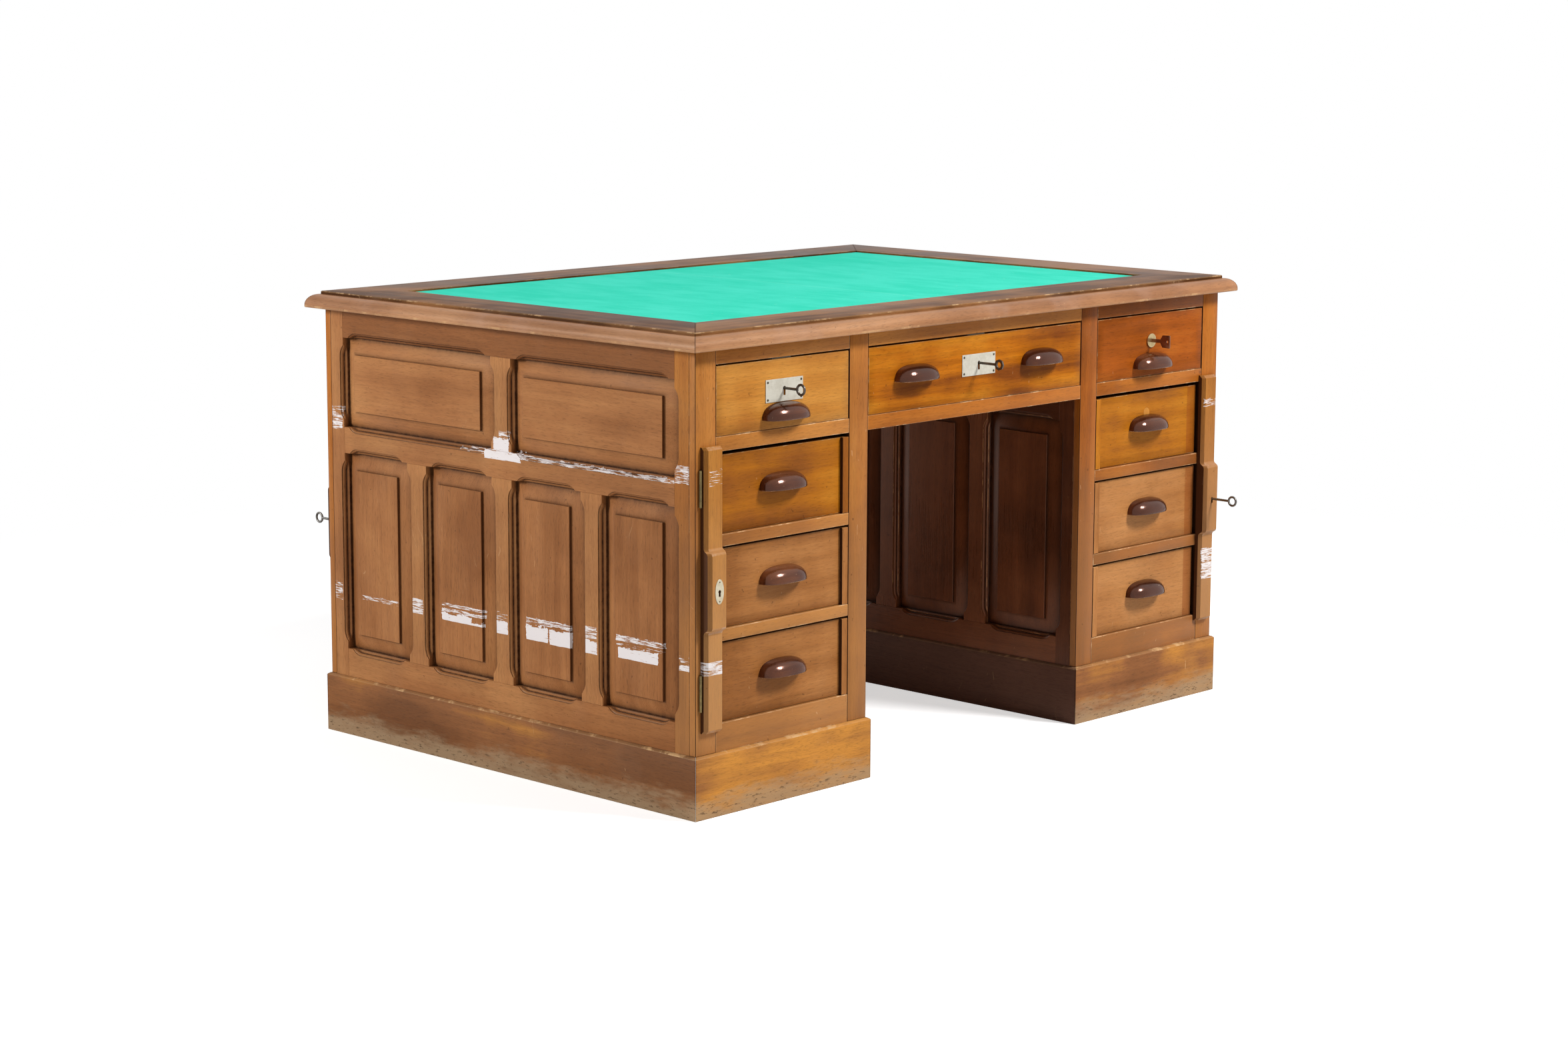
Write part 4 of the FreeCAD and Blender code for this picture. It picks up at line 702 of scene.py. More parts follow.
def box_work(low: Point, high: Point, ease: float, segments: int) -> bmesh.types.BMesh:
    """A work mesh of a box with bevelled edges.

    Args:
        low: its lowest corner.
        high: its highest corner.
        ease: how wide the bevels are.
        segments: how many faces each bevel has.

    Returns:
        The work mesh.
    """
    work = bmesh.new()
    bmesh.ops.create_cube(work, size=1.0)
    for vertex in work.verts:
        vertex.co = Vector([a + (b - a) * (c + 0.5) for a, b, c in zip(low, high, vertex.co)])
    bmesh.ops.bevel(work, geom=work.edges[:], offset=ease, segments=segments, affect="EDGES",
                    profile=0.5)
    return work


def block(low: Point, high: Point, ease: float = 0.5) -> Shell:
    """A board or block with eased edges, or one with square edges to cut with."""
    width = min(ease, min(b - a for a, b in zip(low, high)) * 0.3)
    return taken(box_work(low, high, width, 2 if width > 0.7 else 1))


def taken(work: bmesh.types.BMesh) -> Shell:
    """A shell from a work mesh, with its slanting faces marked as worn edges.

    Args:
        work: the mesh, freed here.

    Returns:
        The shell.
    """
    bmesh.ops.recalc_face_normals(work, faces=work.faces[:])
    work.verts.index_update()
    points = [vertex.co.copy() for vertex in work.verts]
    faces = [tuple(vertex.index for vertex in face.verts) for face in work.faces]
    marks = [float(max(abs(part) for part in face.normal) < 0.97) for face in work.faces]
    work.free()
    return Shell(points, faces, marks)


def linked(name: str, data: bpy.types.ID) -> bpy.types.Object:
    """A new object in the scene."""
    thing = bpy.data.objects.new(name, data)
    bpy.context.scene.collection.objects.link(thing)
    return thing


def face_outwards(mesh: bpy.types.Mesh) -> None:
    """Turns every face of a closed mesh outwards."""
    work = bmesh.new()
    work.from_mesh(mesh)
    bmesh.ops.recalc_face_normals(work, faces=work.faces[:])
    work.to_mesh(mesh)
    work.free()


def as_object(shell: Shell, name: str) -> bpy.types.Object:
    """A passing object that holds a shell."""
    mesh = bpy.data.meshes.new(name)
    mesh.from_pydata([tuple(point) for point in shell.points], [], shell.faces)
    face_outwards(mesh)
    return linked(name, mesh)


def carved(shell: Shell, tools: Sequence[Shell]) -> Shell:
    """A shell with others taken out of it.

    Args:
        shell: what is carved.
        tools: what is taken away.

    Returns:
        The carved shell.
    """
    body = as_object(shell, "carve_body")
    passing = [body]
    for number, tool in enumerate(tools):
        cutter = as_object(tool, f"carve_tool{number}")
        passing.append(cutter)
        cut = body.modifiers.new(f"cut{number}", "BOOLEAN")
        cut.operation = "DIFFERENCE"
        cut.solver = "EXACT"
        cut.object = cutter
    graph = bpy.context.evaluated_depsgraph_get()
    result = bpy.data.meshes.new_from_object(body.evaluated_get(graph))
    work = bmesh.new()
    work.from_mesh(result)
    for thing in passing:
        mesh = thing.data
        bpy.data.objects.remove(thing)
        bpy.data.meshes.remove(mesh)
    bpy.data.meshes.remove(result)
    return taken(work)


def ring(middle: Point, radius: float, axis: int, sides: int = 24) -> list[Vector]:
    """A circle of points round an axis.

    Args:
        middle: its centre.
        radius: its radius.
        axis: 0, 1 or 2 for X, Y or Z.
        sides: how many points.

    Returns:
        The points in order.
    """
    first, second = [(1, 2), (2, 0), (0, 1)][axis]
    points = []
    for index in range(sides):
        angle = 2 * math.pi * index / sides
        point = Vector(middle)
        point[first] += radius * math.cos(angle)
        point[second] += radius * math.sin(angle)
        points.append(point)
    return points


def rod(start: Point, length: float, radius: float, axis: int = 1, sides: int = 24) -> Shell:
    """A plain round bar from start along an axis."""
    end = list(start)
    end[axis] += length
    return loft([ring(start, radius, axis, sides), ring(tuple(end), radius, axis, sides)])


class Stock:
    """The shells of one piece, each with the grain of its board."""

    def __init__(self, name: str, back: bool = False) -> None:
        self.name = name
        self.back = back
        self.chance = random.Random(name)
        self.points: list[Vector] = []
        self.faces: list[Face] = []
        self.arris: list[float] = []
        self.slots: list[int] = []
        self.grain: list[Vector] = []
        self.tone: list[float] = []
        self.grime_and_shade: list[float] = []
        self.finishes: list[Finish] = []

    def add(self, shell: Shell, finish: Finish, run: Run = Run.X, tone: float = 0.0) -> None:
        """Adds one board.

        Args:
            shell: its surface.
            finish: its finish.
            run: which way its grain runs.
            tone: how much lighter it is than its neighbours.
        """
        if finish not in self.finishes:
            self.finishes.append(finish)
        slot = self.finishes.index(finish)
        start = len(self.points)
        offset = Vector([self.chance.uniform(-4.0, 4.0) for _ in range(3)])
        tone += self.chance.uniform(-0.06, 0.06)
        for point in shell.points:
            self.grain.append(Vector([point[axis] * MM for axis in run.value]) + offset)
            self.tone.append(tone)
            self.points.append(HALF_TURN @ point if self.back else point)
        self.grime_and_shade += shell.grime_and_shade or [0.0] * len(shell.points)
        for face, mark in zip(shell.faces, shell.arris):
            self.faces.append(tuple(start + index for index in face))
            self.arris.append(mark)
            self.slots.append(slot)

    def finish(self, body: str, slot: str, replaces: Sequence[str] = (),
               crease: float = 32.0) -> bpy.types.Object:
        """Makes the object and hands it to its body.

        Args:
            body: the body that it rides on.
            slot: the record's material slot; not used.
            replaces: the solids that it stands for.
            crease: edges sharper than this stay sharp, in degrees.

        Returns:
            The finished object.
        """
        mesh = bpy.data.meshes.new(self.name)
        mesh.from_pydata([tuple(point * MM) for point in self.points], [], self.faces)
        grain = [part for vector in self.grain for part in vector]
        for name, kind, domain, values in (
                ("arris", "FLOAT", "FACE", self.arris), ("grain", "FLOAT_VECTOR", "POINT", grain),
                ("tone", "FLOAT", "POINT", self.tone), ("grime_and_shade", "FLOAT", "POINT", self.grime_and_shade)):
            data = mesh.attributes.new(name, kind, domain).data
            data.foreach_set("vector" if kind == "FLOAT_VECTOR" else "value", values)
        for finish in self.finishes:
            mesh.materials.append(finish.made)
        mesh.polygons.foreach_set("material_index", self.slots)
        face_outwards(mesh)
        mesh.shade_smooth()
        mesh.set_sharp_from_angle(angle=math.radians(crease))
        thing = linked(self.name, mesh)
        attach(thing, body)
        if replaces:
            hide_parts(*replaces)
        log.info("%s: %d faces on %s", self.name, len(mesh.polygons), body)
        return thing


# Sizes that several sub-assemblies share


@dataclass(frozen=True)
class Carcass:
    """Main sizes of the desk."""

    width: float = 1356.0
    depth: float = 912.0
    top: float = 751.0
    height: float = 780.0
    pedestal: float = 399.5
    plinth: float = 103.4
    face: float = 14.0
    face_stile: float = 45.2
    bottom_open: float = 150.0
    open_height: float = 132.4
    pitch: float = 152.4
    upper_rail: float = 587.2
    top_open: float = 611.2
    top_open_height: float = 114.4
    drawer_end: float = 353.3
    key_level: float = 675.2
    stile_low: float = 139.8
    stile_high: float = 598.5
    stile_gap: float = 0.3
    stile_lock: float = 31.75
    hinge_levels: Pair = (175.8, 503.5)
    hinge_height: float = 59.0
    hinge_axis: float = 8.3
    leaf: float = 20.0
    leaf_thick: float = 1.2

    @property
    def front(self) -> float:
        """Y of the front face."""
        return -self.depth / 2

    @property
    def stile_key(self) -> float:
        """Level of the locking stiles' keyholes, half-way up them."""
        return (self.stile_low + self.stile_high) / 2

    def across(self, side: str, offset: float, width: float = 0.0) -> float:
        """Lower X of something set in from one end of the carcass."""
        if side == "left":
            return offset - self.width / 2
        return self.width / 2 - offset - width


CARCASS = Carcass()


def set_between(side: str, offset: float, width: float, y: Pair,
                z: Pair, ease: float = 0.5) -> Shell:
    """A block placed by its offset from one end of the carcass."""
    low_x = CARCASS.across(side, offset, width)
    return block((low_x, y[0], z[0]), (low_x + width, y[1], z[1]), ease)


def centred(middle: float, wide: float, y: Pair, z: Pair, ease: float = 0.0) -> Shell:
    """A block placed by the middle of its width."""
    return block((middle - wide / 2, y[0], z[0]), (middle + wide / 2, y[1], z[1]), ease)


@dataclass(frozen=True)
class Keyhole:
    """A keyhole along Y: half a round above, a slot below."""

    radius: float
    wide: float
    drop: float

    def tools(self, middle: float, level: float, start: float, deep: float) -> list[Shell]:
        """What cuts it, from a start in Y over a depth."""
        return [rod((middle, start, level), deep, self.radius, 1, 28),
                centred(middle, self.wide, (start, start + deep), (level - self.drop, level))]


PLATE_KEYHOLE = Keyhole(3.4, 4.8, 11.5)
STILE_KEYHOLE = Keyhole(3.0, 4.2, 8.0)


# The top


def mitred(stock: Stock, low: Pair, high: Pair, profile: Spans, base: float,
           finishes: Sequence[Finish], arris: Iterable[int],
           tones: Sequence[float] = (0.0, 0.0, 0.0, 0.0), gap: float = 0.12,
           dirty: float = 2.5) -> None:
    """Four mitred runs round a rectangle, dirty at their ends.

    Args:
        stock: the piece that gets them.
        low: the rectangle's lowest corner.
        high: its highest corner.
        profile: (inwards, up) corners of the section.
        base: level of the section's foot.
        finishes: the finish of each run: front, right, back, left.
        arris: worn runs of the profile.
        tones: how much lighter each run is, in the same order.
        gap: half the open joint at each mitre.
        dirty: how far the dirt reaches from each mitre.
    """
    for turn, (finish, tone) in enumerate(zip(finishes, tones)):
        along, across = (1, 0) if turn % 2 else (0, 1)
        sections = []
        for share, shift in ((0.0, 0.0), (0.0, dirty), (1.0, -dirty), (1.0, 0.0)):
            section = []
            for inward, up in profile:
                start, end = low[along] + inward + gap, high[along] - inward - gap
                point = Vector((0.0, 0.0, base + up))
                point[along] = start + (end - start) * share + shift
                point[across] = (low[across] + inward if turn in (0, 3)
                                 else high[across] - inward)
                section.append(point)
            sections.append(section)
        run = loft(sections, arris)
        run.grime_and_shade = [amount for amount in (0.6, 0.0, 0.0, 0.6) for _ in profile]
        stock.add(run, finish, Run.Y if turn % 2 else Run.X, tone)


@dataclass
class WritingTop:
    """Mitred border, its edge moulding and the cloth."""

    border: float = 105.0
    overhang: float = 5.0
    reach: float = 20.5
    lip: float = 4.5
    thumb: float = 19.0
    thumb_steps: int = 12
    cloth: Extent = (1155.0, 711.0, 1.5)
    cloth_low: float = 776.0
    cloth_cells: tuple[int, int] = (92, 58)
    wave: float = 0.12

    def make(self) -> None:
        """Makes the border, the moulding and the cloth."""
        half_x, half_y = CARCASS.width / 2 + self.overhang, CARCASS.depth / 2 + self.overhang
        thick = CARCASS.height - CARCASS.top
        border = Stock("top_border_boards")
        mitred(border, (-half_x, -half_y), (half_x, half_y), [
            (0.0, 0.0), (self.border, 0.0), (self.border, thick - 0.5),
            (self.border - 0.5, thick), (2.0, thick), (1.1, thick - 0.25), (0.4, thick - 0.8),
            (0.0, thick - 1.8)], CARCASS.top, [Finish.BORDER] * 4, (2, 4, 5, 6),
            (0.26, 0.20, 0.06, 0.02))
        border.finish("desk", "dark_mahogany", ["top_border"])
        outer = (-half_x - self.reach, -half_y - self.reach)
        beyond = (half_x + self.reach, half_y + self.reach)
        height = self.lip + self.thumb
        profile = [(2.0, 0.0), (self.reach, 0.0), (self.reach, height), (self.thumb, height)]
        for step in range(1, self.thumb_steps):
            angle = math.radians(90 * step / self.thumb_steps)
            profile.append((self.thumb - self.thumb * math.sin(angle),
                            self.lip + self.thumb * math.cos(angle)))
        profile += [(0.0, self.lip), (0.0, 2.0), (0.3, 1.0), (1.0, 0.3)]
        moulding = Stock("edge_moulding_boards")
        mitred(moulding, outer, beyond, profile, CARCASS.top, [Finish.MOULDING] * 4,
               (15, 16, 17, 18))
        moulding.finish("desk", "mahogany", ["edge_moulding"])
        self.make_cloth()

    def make_cloth(self) -> None:
        """Makes the cloth as a thin sheet with the least unevenness."""
        columns, rows = self.cloth_cells
        wide, deep, thick = self.cloth
        points: list[Vector] = []
        for top in (True, False):
            for row in range(rows + 1):
                for column in range(columns + 1):
                    x = wide * (column / columns - 0.5)
                    y = deep * (row / rows - 0.5)
                    rise = self.wave * math.sin(x / 47 + 1.3 * math.sin(y / 61)) if top else 0.0
                    edge = min(row, column, rows - row, columns - column)
                    rise = rise * min(1.0, edge / 4) - (0.0 if edge or not top else 0.5)
                    level = self.cloth_low + (thick - self.wave + rise if top else 0.0)
                    points.append(Vector((x, y, level)))
        across = columns + 1
        layer = across * (rows + 1)
        faces: list[Face] = []
        for row in range(rows):
            for column in range(columns):
                here = row * across + column
                quad = (here, here + 1, here + 1 + across, here + across)
                faces += [quad, tuple(layer + index for index in reversed(quad))]
        rim = list(range(columns))
        rim += [row * across + columns for row in range(rows)]
        rim += [rows * across + column for column in range(columns, 0, -1)]
        rim += [row * across for row in range(rows, 0, -1)]
        for here, after in zip(rim, rim[1:] + rim[:1]):
            faces.append((after, here, layer + here, layer + after))
        stock = Stock("writing_cloth_sheet")
        stock.add(Shell(points, faces, [0.0] * len(faces)), Finish.BAIZE)
        sheet = stock.finish("desk", "writing_cloth", ["writing_cloth"])


# The plinths


@dataclass
class Plinths:
    """Four mitred boards under each pedestal."""

    step: float = 6.4
    bevel: float = 2.9
    thick: float = 24.0
    joint: float = 0.25

    def make(self) -> None:
        """Makes both plinths as one piece."""
        stock = Stock("plinth_boards")
        height = CARCASS.plinth
        profile = [(0.8, 0.0), (self.thick, 0.0), (self.thick, height), (self.step + 0.5, height),
                   (self.step * 0.6, height - 0.5), (0.6, height - self.bevel + 0.2),
                   (0.0, height - self.bevel - 0.8), (0.0, 0.9)]
        outer, inner = Finish.PLINTH, Finish.INNER_PLINTH
        for side, finishes, tones in (
                ("left", (outer, inner, outer, outer), (0.42, 0.0, 0.2, -0.18)),
                ("right", (outer, outer, outer, inner), (0.02, 0.0, 0.2, 0.0))):
            start = CARCASS.across(side, 0, CARCASS.pedestal)
            low = (start - self.step, CARCASS.front - self.step)
            high = (start + CARCASS.pedestal + self.step, -CARCASS.front + self.step)
            mitred(stock, low, high, profile, 0.0, finishes, (3, 4, 5, 7), tones, self.joint)
        stock.finish("desk", "mahogany", ["plinths"])


# Panelled ends and kneehole sides


@dataclass(frozen=True)
class StoppedMoulding:
    """Moulding along the edge of an opening, stopped short of the corners."""

    reach: float = 9.5
    start: float = 13.0
    cutter: float = 27.0
    steps: int = 7
    profile: tuple[Pair, ...] = (
        (9.5, 0.0), (9.3, 1.5), (8.0, 1.9), (6.7, 2.7), (5.8, 3.9), (5.4, 5.3), (5.3, 6.4),
        (4.3, 6.6), (4.1, 7.2), (3.3, 8.2), (2.2, 9.0), (0.9, 9.5), (0.0, 10.2))
    # Dirt and painted shade at each point of the profile, darkest in the quirks and at the foot
    # where the frame's shadow falls; the plain run's amounts follow.
    dirt_and_shade: tuple[float, ...] = (0.1, 0.75, 0.25, 0.15, 0.15, 0.4, 0.9, 0.95, 0.4, 0.2, 0.25, 0.5,
                               0.9)
    plain_dirt_and_shade: tuple[float, ...] = (0.0,) * 4 + (0.25,) * 4 + (0.5,) * 4 + (0.8,)

    @property
    def sweep(self) -> float:
        """Length over which the moulding comes to its full depth."""
        return math.sqrt(2 * self.cutter * self.reach - self.reach ** 2)

    def stations(self, opening: Pair) -> list[float]:
        """Places along the board where its section changes."""
        low, high = opening
        offsets = [self.start + self.sweep * index / self.steps
                   for index in range(self.steps + 1)]
        return [low + offset for offset in offsets] + [high - offset for offset in offsets]

    def held_back(self, place: float, openings: Spans) -> float:
        """How far the cutter stands off the board at a place along it.

        Args:
            place: the place.
            openings: the openings along this edge.

        Returns:
            0 for the full moulding, its reach for none.
        """
        for low, high in openings:
            run = min(place - low, high - place) - self.start
            if run >= self.sweep:
                return 0.0
            if run > 0:
                return self.cutter - math.sqrt(self.cutter ** 2 - (self.sweep - run) ** 2)
        return self.reach


@dataclass
class PanelledSide:
    """Framing and raised panels of an end or a kneehole side."""

    name: str
    node: str
    at_x: float
    outwards: int
    rows: Sequence[tuple[float, float, int]]
    top_rail: float
    finish: Finish
    thick: float = 24.0
    stile: float = 32.5
    muntin: float = 50.0
    bottom_rail: float = 49.6
    middle_rail: float = 46.0
    moulding: StoppedMoulding = field(default_factory=StoppedMoulding)
    field_depth: float = 1.0
    field_step: float = 4.5
    frame_depth: float = 14.0
    margin: float = 28.5
    ease: float = 0.3

    def spot(self, across: float, up: float, depth: float) -> Vector:
        """A point by its Y, its level and its depth behind the show face."""
        if self.outwards < 0:
            return Vector((self.at_x + depth, across, up))
        return Vector((self.at_x + self.thick - depth, across, up))

    def section(self, place: float, low: float, high: float,
                below: Spans, above: Spans) -> list[Extent]:
        """Section of a framing board at a place along it.

        Args:
            place: the place.
            low: the board's lower edge across its run.
            high: its upper edge.
            below: openings along its lower edge.
            above: openings along its upper edge.

        Returns:
            Its corners as (across, depth, dirt and painted shade).
        """
        corners = [(low, self.thick, 0.0), (high, self.thick, 0.0)]
        shape = self.moulding
        for edge, sign, openings in ((high, -1, above), (low, 1, below)):
            back = shape.held_back(place, openings)
            share = 1.0 - back / shape.reach if any(a <= place <= b for a, b in openings) else None
            run = []
            for (reach, depth), moulded, plain in zip(shape.profile, shape.dirt_and_shade,
                                                      shape.plain_dirt_and_shade):
                inwards = max(reach - back, 0.0 if depth else self.ease)
                dirt_and_shade = 0.0 if share is None else moulded * share + plain * (1.0 - share)
                run.append((edge + sign * inwards, depth, dirt_and_shade))
            corners += run[::sign]
        return corners

    def board(self, upright: bool, low: float, high: float, start: float, end: float,
              below: Spans = (), above: Spans = ()) -> Shell:
        """A framing board with stopped mouldings on its edges.

        Args:
            upright: True for a stile or muntin, False for a rail.
            low: its lower edge across its run.
            high: its upper edge across its run.
            start: where it starts along its run.
            end: where it ends.
            below: openings along its lower edge.
            above: openings along its upper edge.

        Returns:
            The closed shell.
        """
        places = {start, start + self.ease, end - self.ease, end}
        for opening in [*below, *above]:
            places.update(self.moulding.stations(opening))
        sections: list[list[Vector]] = []
        dirt_and_shade: list[float] = []
        for place in sorted(places):
            least = self.ease if place in (start, end) else 0.0
            corners = self.section(place, low, high, below, above)
            sections.append([self.spot(*((across, place) if upright else (place, across)),
                                       max(depth, least)) for across, depth, _ in corners])
            dirt_and_shade += [amount for _, _, amount in corners]
        count = len(self.moulding.profile)
        # On a kneehole two runs of the moulding get the worn colour as painted highlights.
        worn_and_highlight = (4, 24) if self.finish is Finish.KNEEHOLE else ()
        shell = loft(sections, arris=(count, count + 2, *worn_and_highlight))
        shell.grime_and_shade = dirt_and_shade
        return shell

    def panel(self, low: float, high: float, bottom: float, top: float) -> Shell:
        """A raised panel between its framing boards.

        Args:
            low: lower Y of the opening.
            high: higher Y of the opening.
            bottom: lower level of the opening.
            top: upper level of the opening.

        Returns:
            The closed shell.
        """
        foot = self.field_depth + self.field_step
        # The third figure is dirt and painted shade: dark where the margin meets the frame, fading
        # out by 16 mm as the frame's shadow, and again at the foot of the field's step.
        steps = [(-0.4, 20.0, 0.0), (-0.4, self.frame_depth, 1.0), (0.0, self.frame_depth, 1.0),
                 (3.0, 12.95, 0.5), (8.0, 11.2, 0.15), (16.0, 8.4, 0.0),
                 (self.margin - 6.0, foot + 0.4, 0.06), (self.margin - 2.0, foot, 0.25),
                 (self.margin, foot, 0.5), (self.margin, self.field_depth + 0.6, 0.15),
                 (self.margin + 0.6, self.field_depth, 0.0)]
        sections = []
        dirt_and_shade: list[float] = []
        for inset, depth, amount in steps:
            a, b, c, d = low + inset, high - inset, bottom + inset, top - inset
            sections.append([self.spot(a, c, depth), self.spot(b, c, depth),
                             self.spot(b, d, depth), self.spot(a, d, depth)])
            dirt_and_shade += [amount] * 4
        shell = loft(sections)
        shell.grime_and_shade = dirt_and_shade
        # The step round the field has painted shade below and on one side, and a painted highlight
        # on its top arris.
        shell.arris[8 * 4:10 * 4] = [-0.7, 0.0, 0.0, -0.7, 0.0, 0.0, 0.6, 0.0]
        return shell

    def make(self) -> None:
        """Makes the side as one piece."""
        stock = Stock(self.name)
        inside = CARCASS.front + CARCASS.face
        first, last = inside + self.stile, -inside - self.stile
        base, top = CARCASS.plinth, CARCASS.top
        bays: list[list[Pair]] = []
        for _, _, count in self.rows:
            wide = (last - first - (count - 1) * self.muntin) / count
            starts = [first + index * (wide + self.muntin) for index in range(count)]
            bays.append([(start, start + wide) for start in starts])
        upright = [(level, level + height) for level, height, _ in self.rows]
        kneehole = self.finish is Finish.KNEEHOLE
        edge = {Finish.KNEEHOLE: Finish.KNEEHOLE,
                Finish.TAPED_END: Finish.TAPED_FRAME}.get(self.finish, Finish.FRAME)
        stock.add(self.board(True, inside, first, base, top, (), upright), edge, Run.Z,
                  -0.3 if kneehole else 0.08)
        stock.add(self.board(True, last, -inside, base, top, upright), self.finish, Run.Z, 0.05)
        # The top rail is darker, partly painted shade under the overhanging top.
        rails = [(base, self.bottom_rail, (), bays[0], 0.04),
                 (top - self.top_rail, self.top_rail, bays[-1], (), -0.50)]
        if len(self.rows) > 1:
            rails.append((upright[0][1], self.middle_rail, bays[0], bays[1], 0.12))
        for level, height, below, above, tone in rails:
            stock.add(self.board(False, level, level + height, first, last, below, above),
                      self.finish, Run.Y, tone)
        for opening, row in zip(upright, bays):
            for number, (low, high) in enumerate(row):
                tall = opening[1] - opening[0] > high - low
                stock.add(self.panel(low, high, *opening), self.finish,
                          Run.Z if tall else Run.Y, -0.12 if tall else 0.08)
                if number:
                    stock.add(self.board(True, low - self.muntin, low, *opening, [opening],
                                         [opening]), self.finish, Run.Z, 0.18)
        stock.finish("desk", "mahogany", [self.node])


# Face frames


@dataclass
class FaceFrame:
    """Stiles and rails round the drawers of one long face."""

    face: str
    back: bool
    bottom_rail: float = 46.6
    lower_rail: float = 20.0
    upper_rail: float = 24.0
    top_rail: float = 25.4
    staple: Extent = (20.0, 1.5, 28.0)
    staple_level: float = 391.15
    bolt_throw: float = 9.0

    def mortises(self, side: str) -> list[Shell]:
        """Leaf and staple mortises of an outer stile."""
        face = CARCASS.front
        tools = [set_between(side, CARCASS.hinge_axis - CARCASS.leaf_thick / 2, CARCASS.leaf,
                             (face - 1, face + CARCASS.leaf_thick),
                             (level, level + CARCASS.hinge_height), 0.0)
                 for level in CARCASS.hinge_levels]
        wide, deep, tall = self.staple
        tools.append(set_between(side, CARCASS.stile_lock - wide / 2, wide,
                                 (face - 1, face + deep), (self.staple_level - tall / 2,
                                                           self.staple_level + tall / 2), 0.0))
        return tools

    @staticmethod
    def sideways(to_right: bool) -> Callable[[Vector], bool]:
        """Test for faces that look along X to the right or to the left."""
        return lambda way: (way.x if to_right else -way.x) > 0.7

    @staticmethod
    def shaded_below_or_joined(way: Vector) -> bool:
        """Test for faces of a rail that look down, painted as shade, or meet a stile, painted as a
        dark joint.
        """
        return way.z < -0.7 or abs(way.x) > 0.5

    def top_board(self, board: Shell, middle: float) -> Shell:
        """A top rail with the mortise for a drawer lock's bolt."""
        low = CARCASS.top - self.top_rail
        room = PlateLock(middle).bolt(low - 1, low + self.bolt_throw, 1.0)
        # The rail's underside is painted dark as shade, its ends as dark joints.
        return carved(board, [room]).darkened_for_shade_and_joints(False, self.shaded_below_or_joined)

    def make(self) -> None:
        """Makes the frame as one piece."""
        stock = Stock(f"{self.face}_frame_boards", self.back)
        y = (CARCASS.front, CARCASS.front + CARCASS.face)
        stile, rail = CARCASS.face_stile, CARCASS.pedestal - 2 * CARCASS.face_stile
        uprights = (CARCASS.plinth, CARCASS.top)
        top = (CARCASS.top - self.top_rail, CARCASS.top)
        upper = (CARCASS.upper_rail, CARCASS.upper_rail + self.upper_rail)
        lows = [CARCASS.bottom_open + index * CARCASS.pitch - self.lower_rail for index in (1, 2)]
        # Board tones: the lower rails come out darker than the upper rail, partly painted falloff
        # of the light towards the floor.
        for side, wood, outer_tone, inner_tone, tone, upper_tone in (
                ("left", Finish.FRAME, 0.14, -0.24, 0.04, 0.14),
                ("right", Finish.DARKER_FRAME, 0.3, -0.02, -0.15, 0.25)):
            outer = carved(set_between(side, 0, stile, y, uprights, 0.8), self.mortises(side))
            # The stiles' sides at the drawer openings are painted dark as shade, their eased edges
            # as dark joints.
            stock.add(outer.darkened_for_shade_and_joints(True, self.sideways(side == "left")), wood, Run.Z, outer_tone)
            inner = set_between(side, CARCASS.pedestal - stile, stile, y, uprights, 0.8)
            stock.add(inner.darkened_for_shade_and_joints(True, self.sideways(side == "right")), wood, Run.Z,
                      inner_tone)
            for levels, lightness in (
                    ((CARCASS.plinth, CARCASS.plinth + self.bottom_rail), tone),
                    (upper, upper_tone), *(((low, low + self.lower_rail), tone) for low in lows)):
                board = set_between(side, stile, rail, y, levels, 1.1)
                # Rail undersides are painted dark as shade, rail ends as dark joints.
                stock.add(board.darkened_for_shade_and_joints(False, self.shaded_below_or_joined), wood, Run.X, lightness)
            board = set_between(side, stile, rail, y, top, 0.8)
            middle = CARCASS.across(side, CARCASS.pedestal / 2)
            stock.add(self.top_board(board, middle), wood, Run.X, -0.12)
        half = CARCASS.width / 2 - CARCASS.pedestal
        stock.add(block((-half, y[0], upper[0]), (half, y[1], upper[1]), 0.9),
                  Finish.DARKER_FRAME, Run.X, 0.36)
        board = block((-half, y[0], top[0]), (half, y[1], top[1]), 0.5)
        stock.add(self.top_board(board, 0.0), Finish.FRAME, Run.X, 0.2)
        stock.finish("desk", "mahogany", [f"{self.face}_frame"])


# Locks


def cased(middle: float, wide: float, y: Pair, z: Pair, wall: float,
          tools: Sequence[Shell]) -> Shell:
    """A hollow lock case with openings.

    Args:
        middle: X of its middle.
        wide: its width.
        y: where it starts and ends in Y.
        z: its lower and upper level.
        wall: how thick its walls are.
        tools: what cuts its openings.

    Returns:
        The case.
    """
    hollow = centred(middle, wide - 2 * wall, (y[0] + wall, y[1] - wall),
                     (z[0] + wall, z[1] - wall))
    return carved(centred(middle, wide, y, z, 0.3), [hollow, *tools])


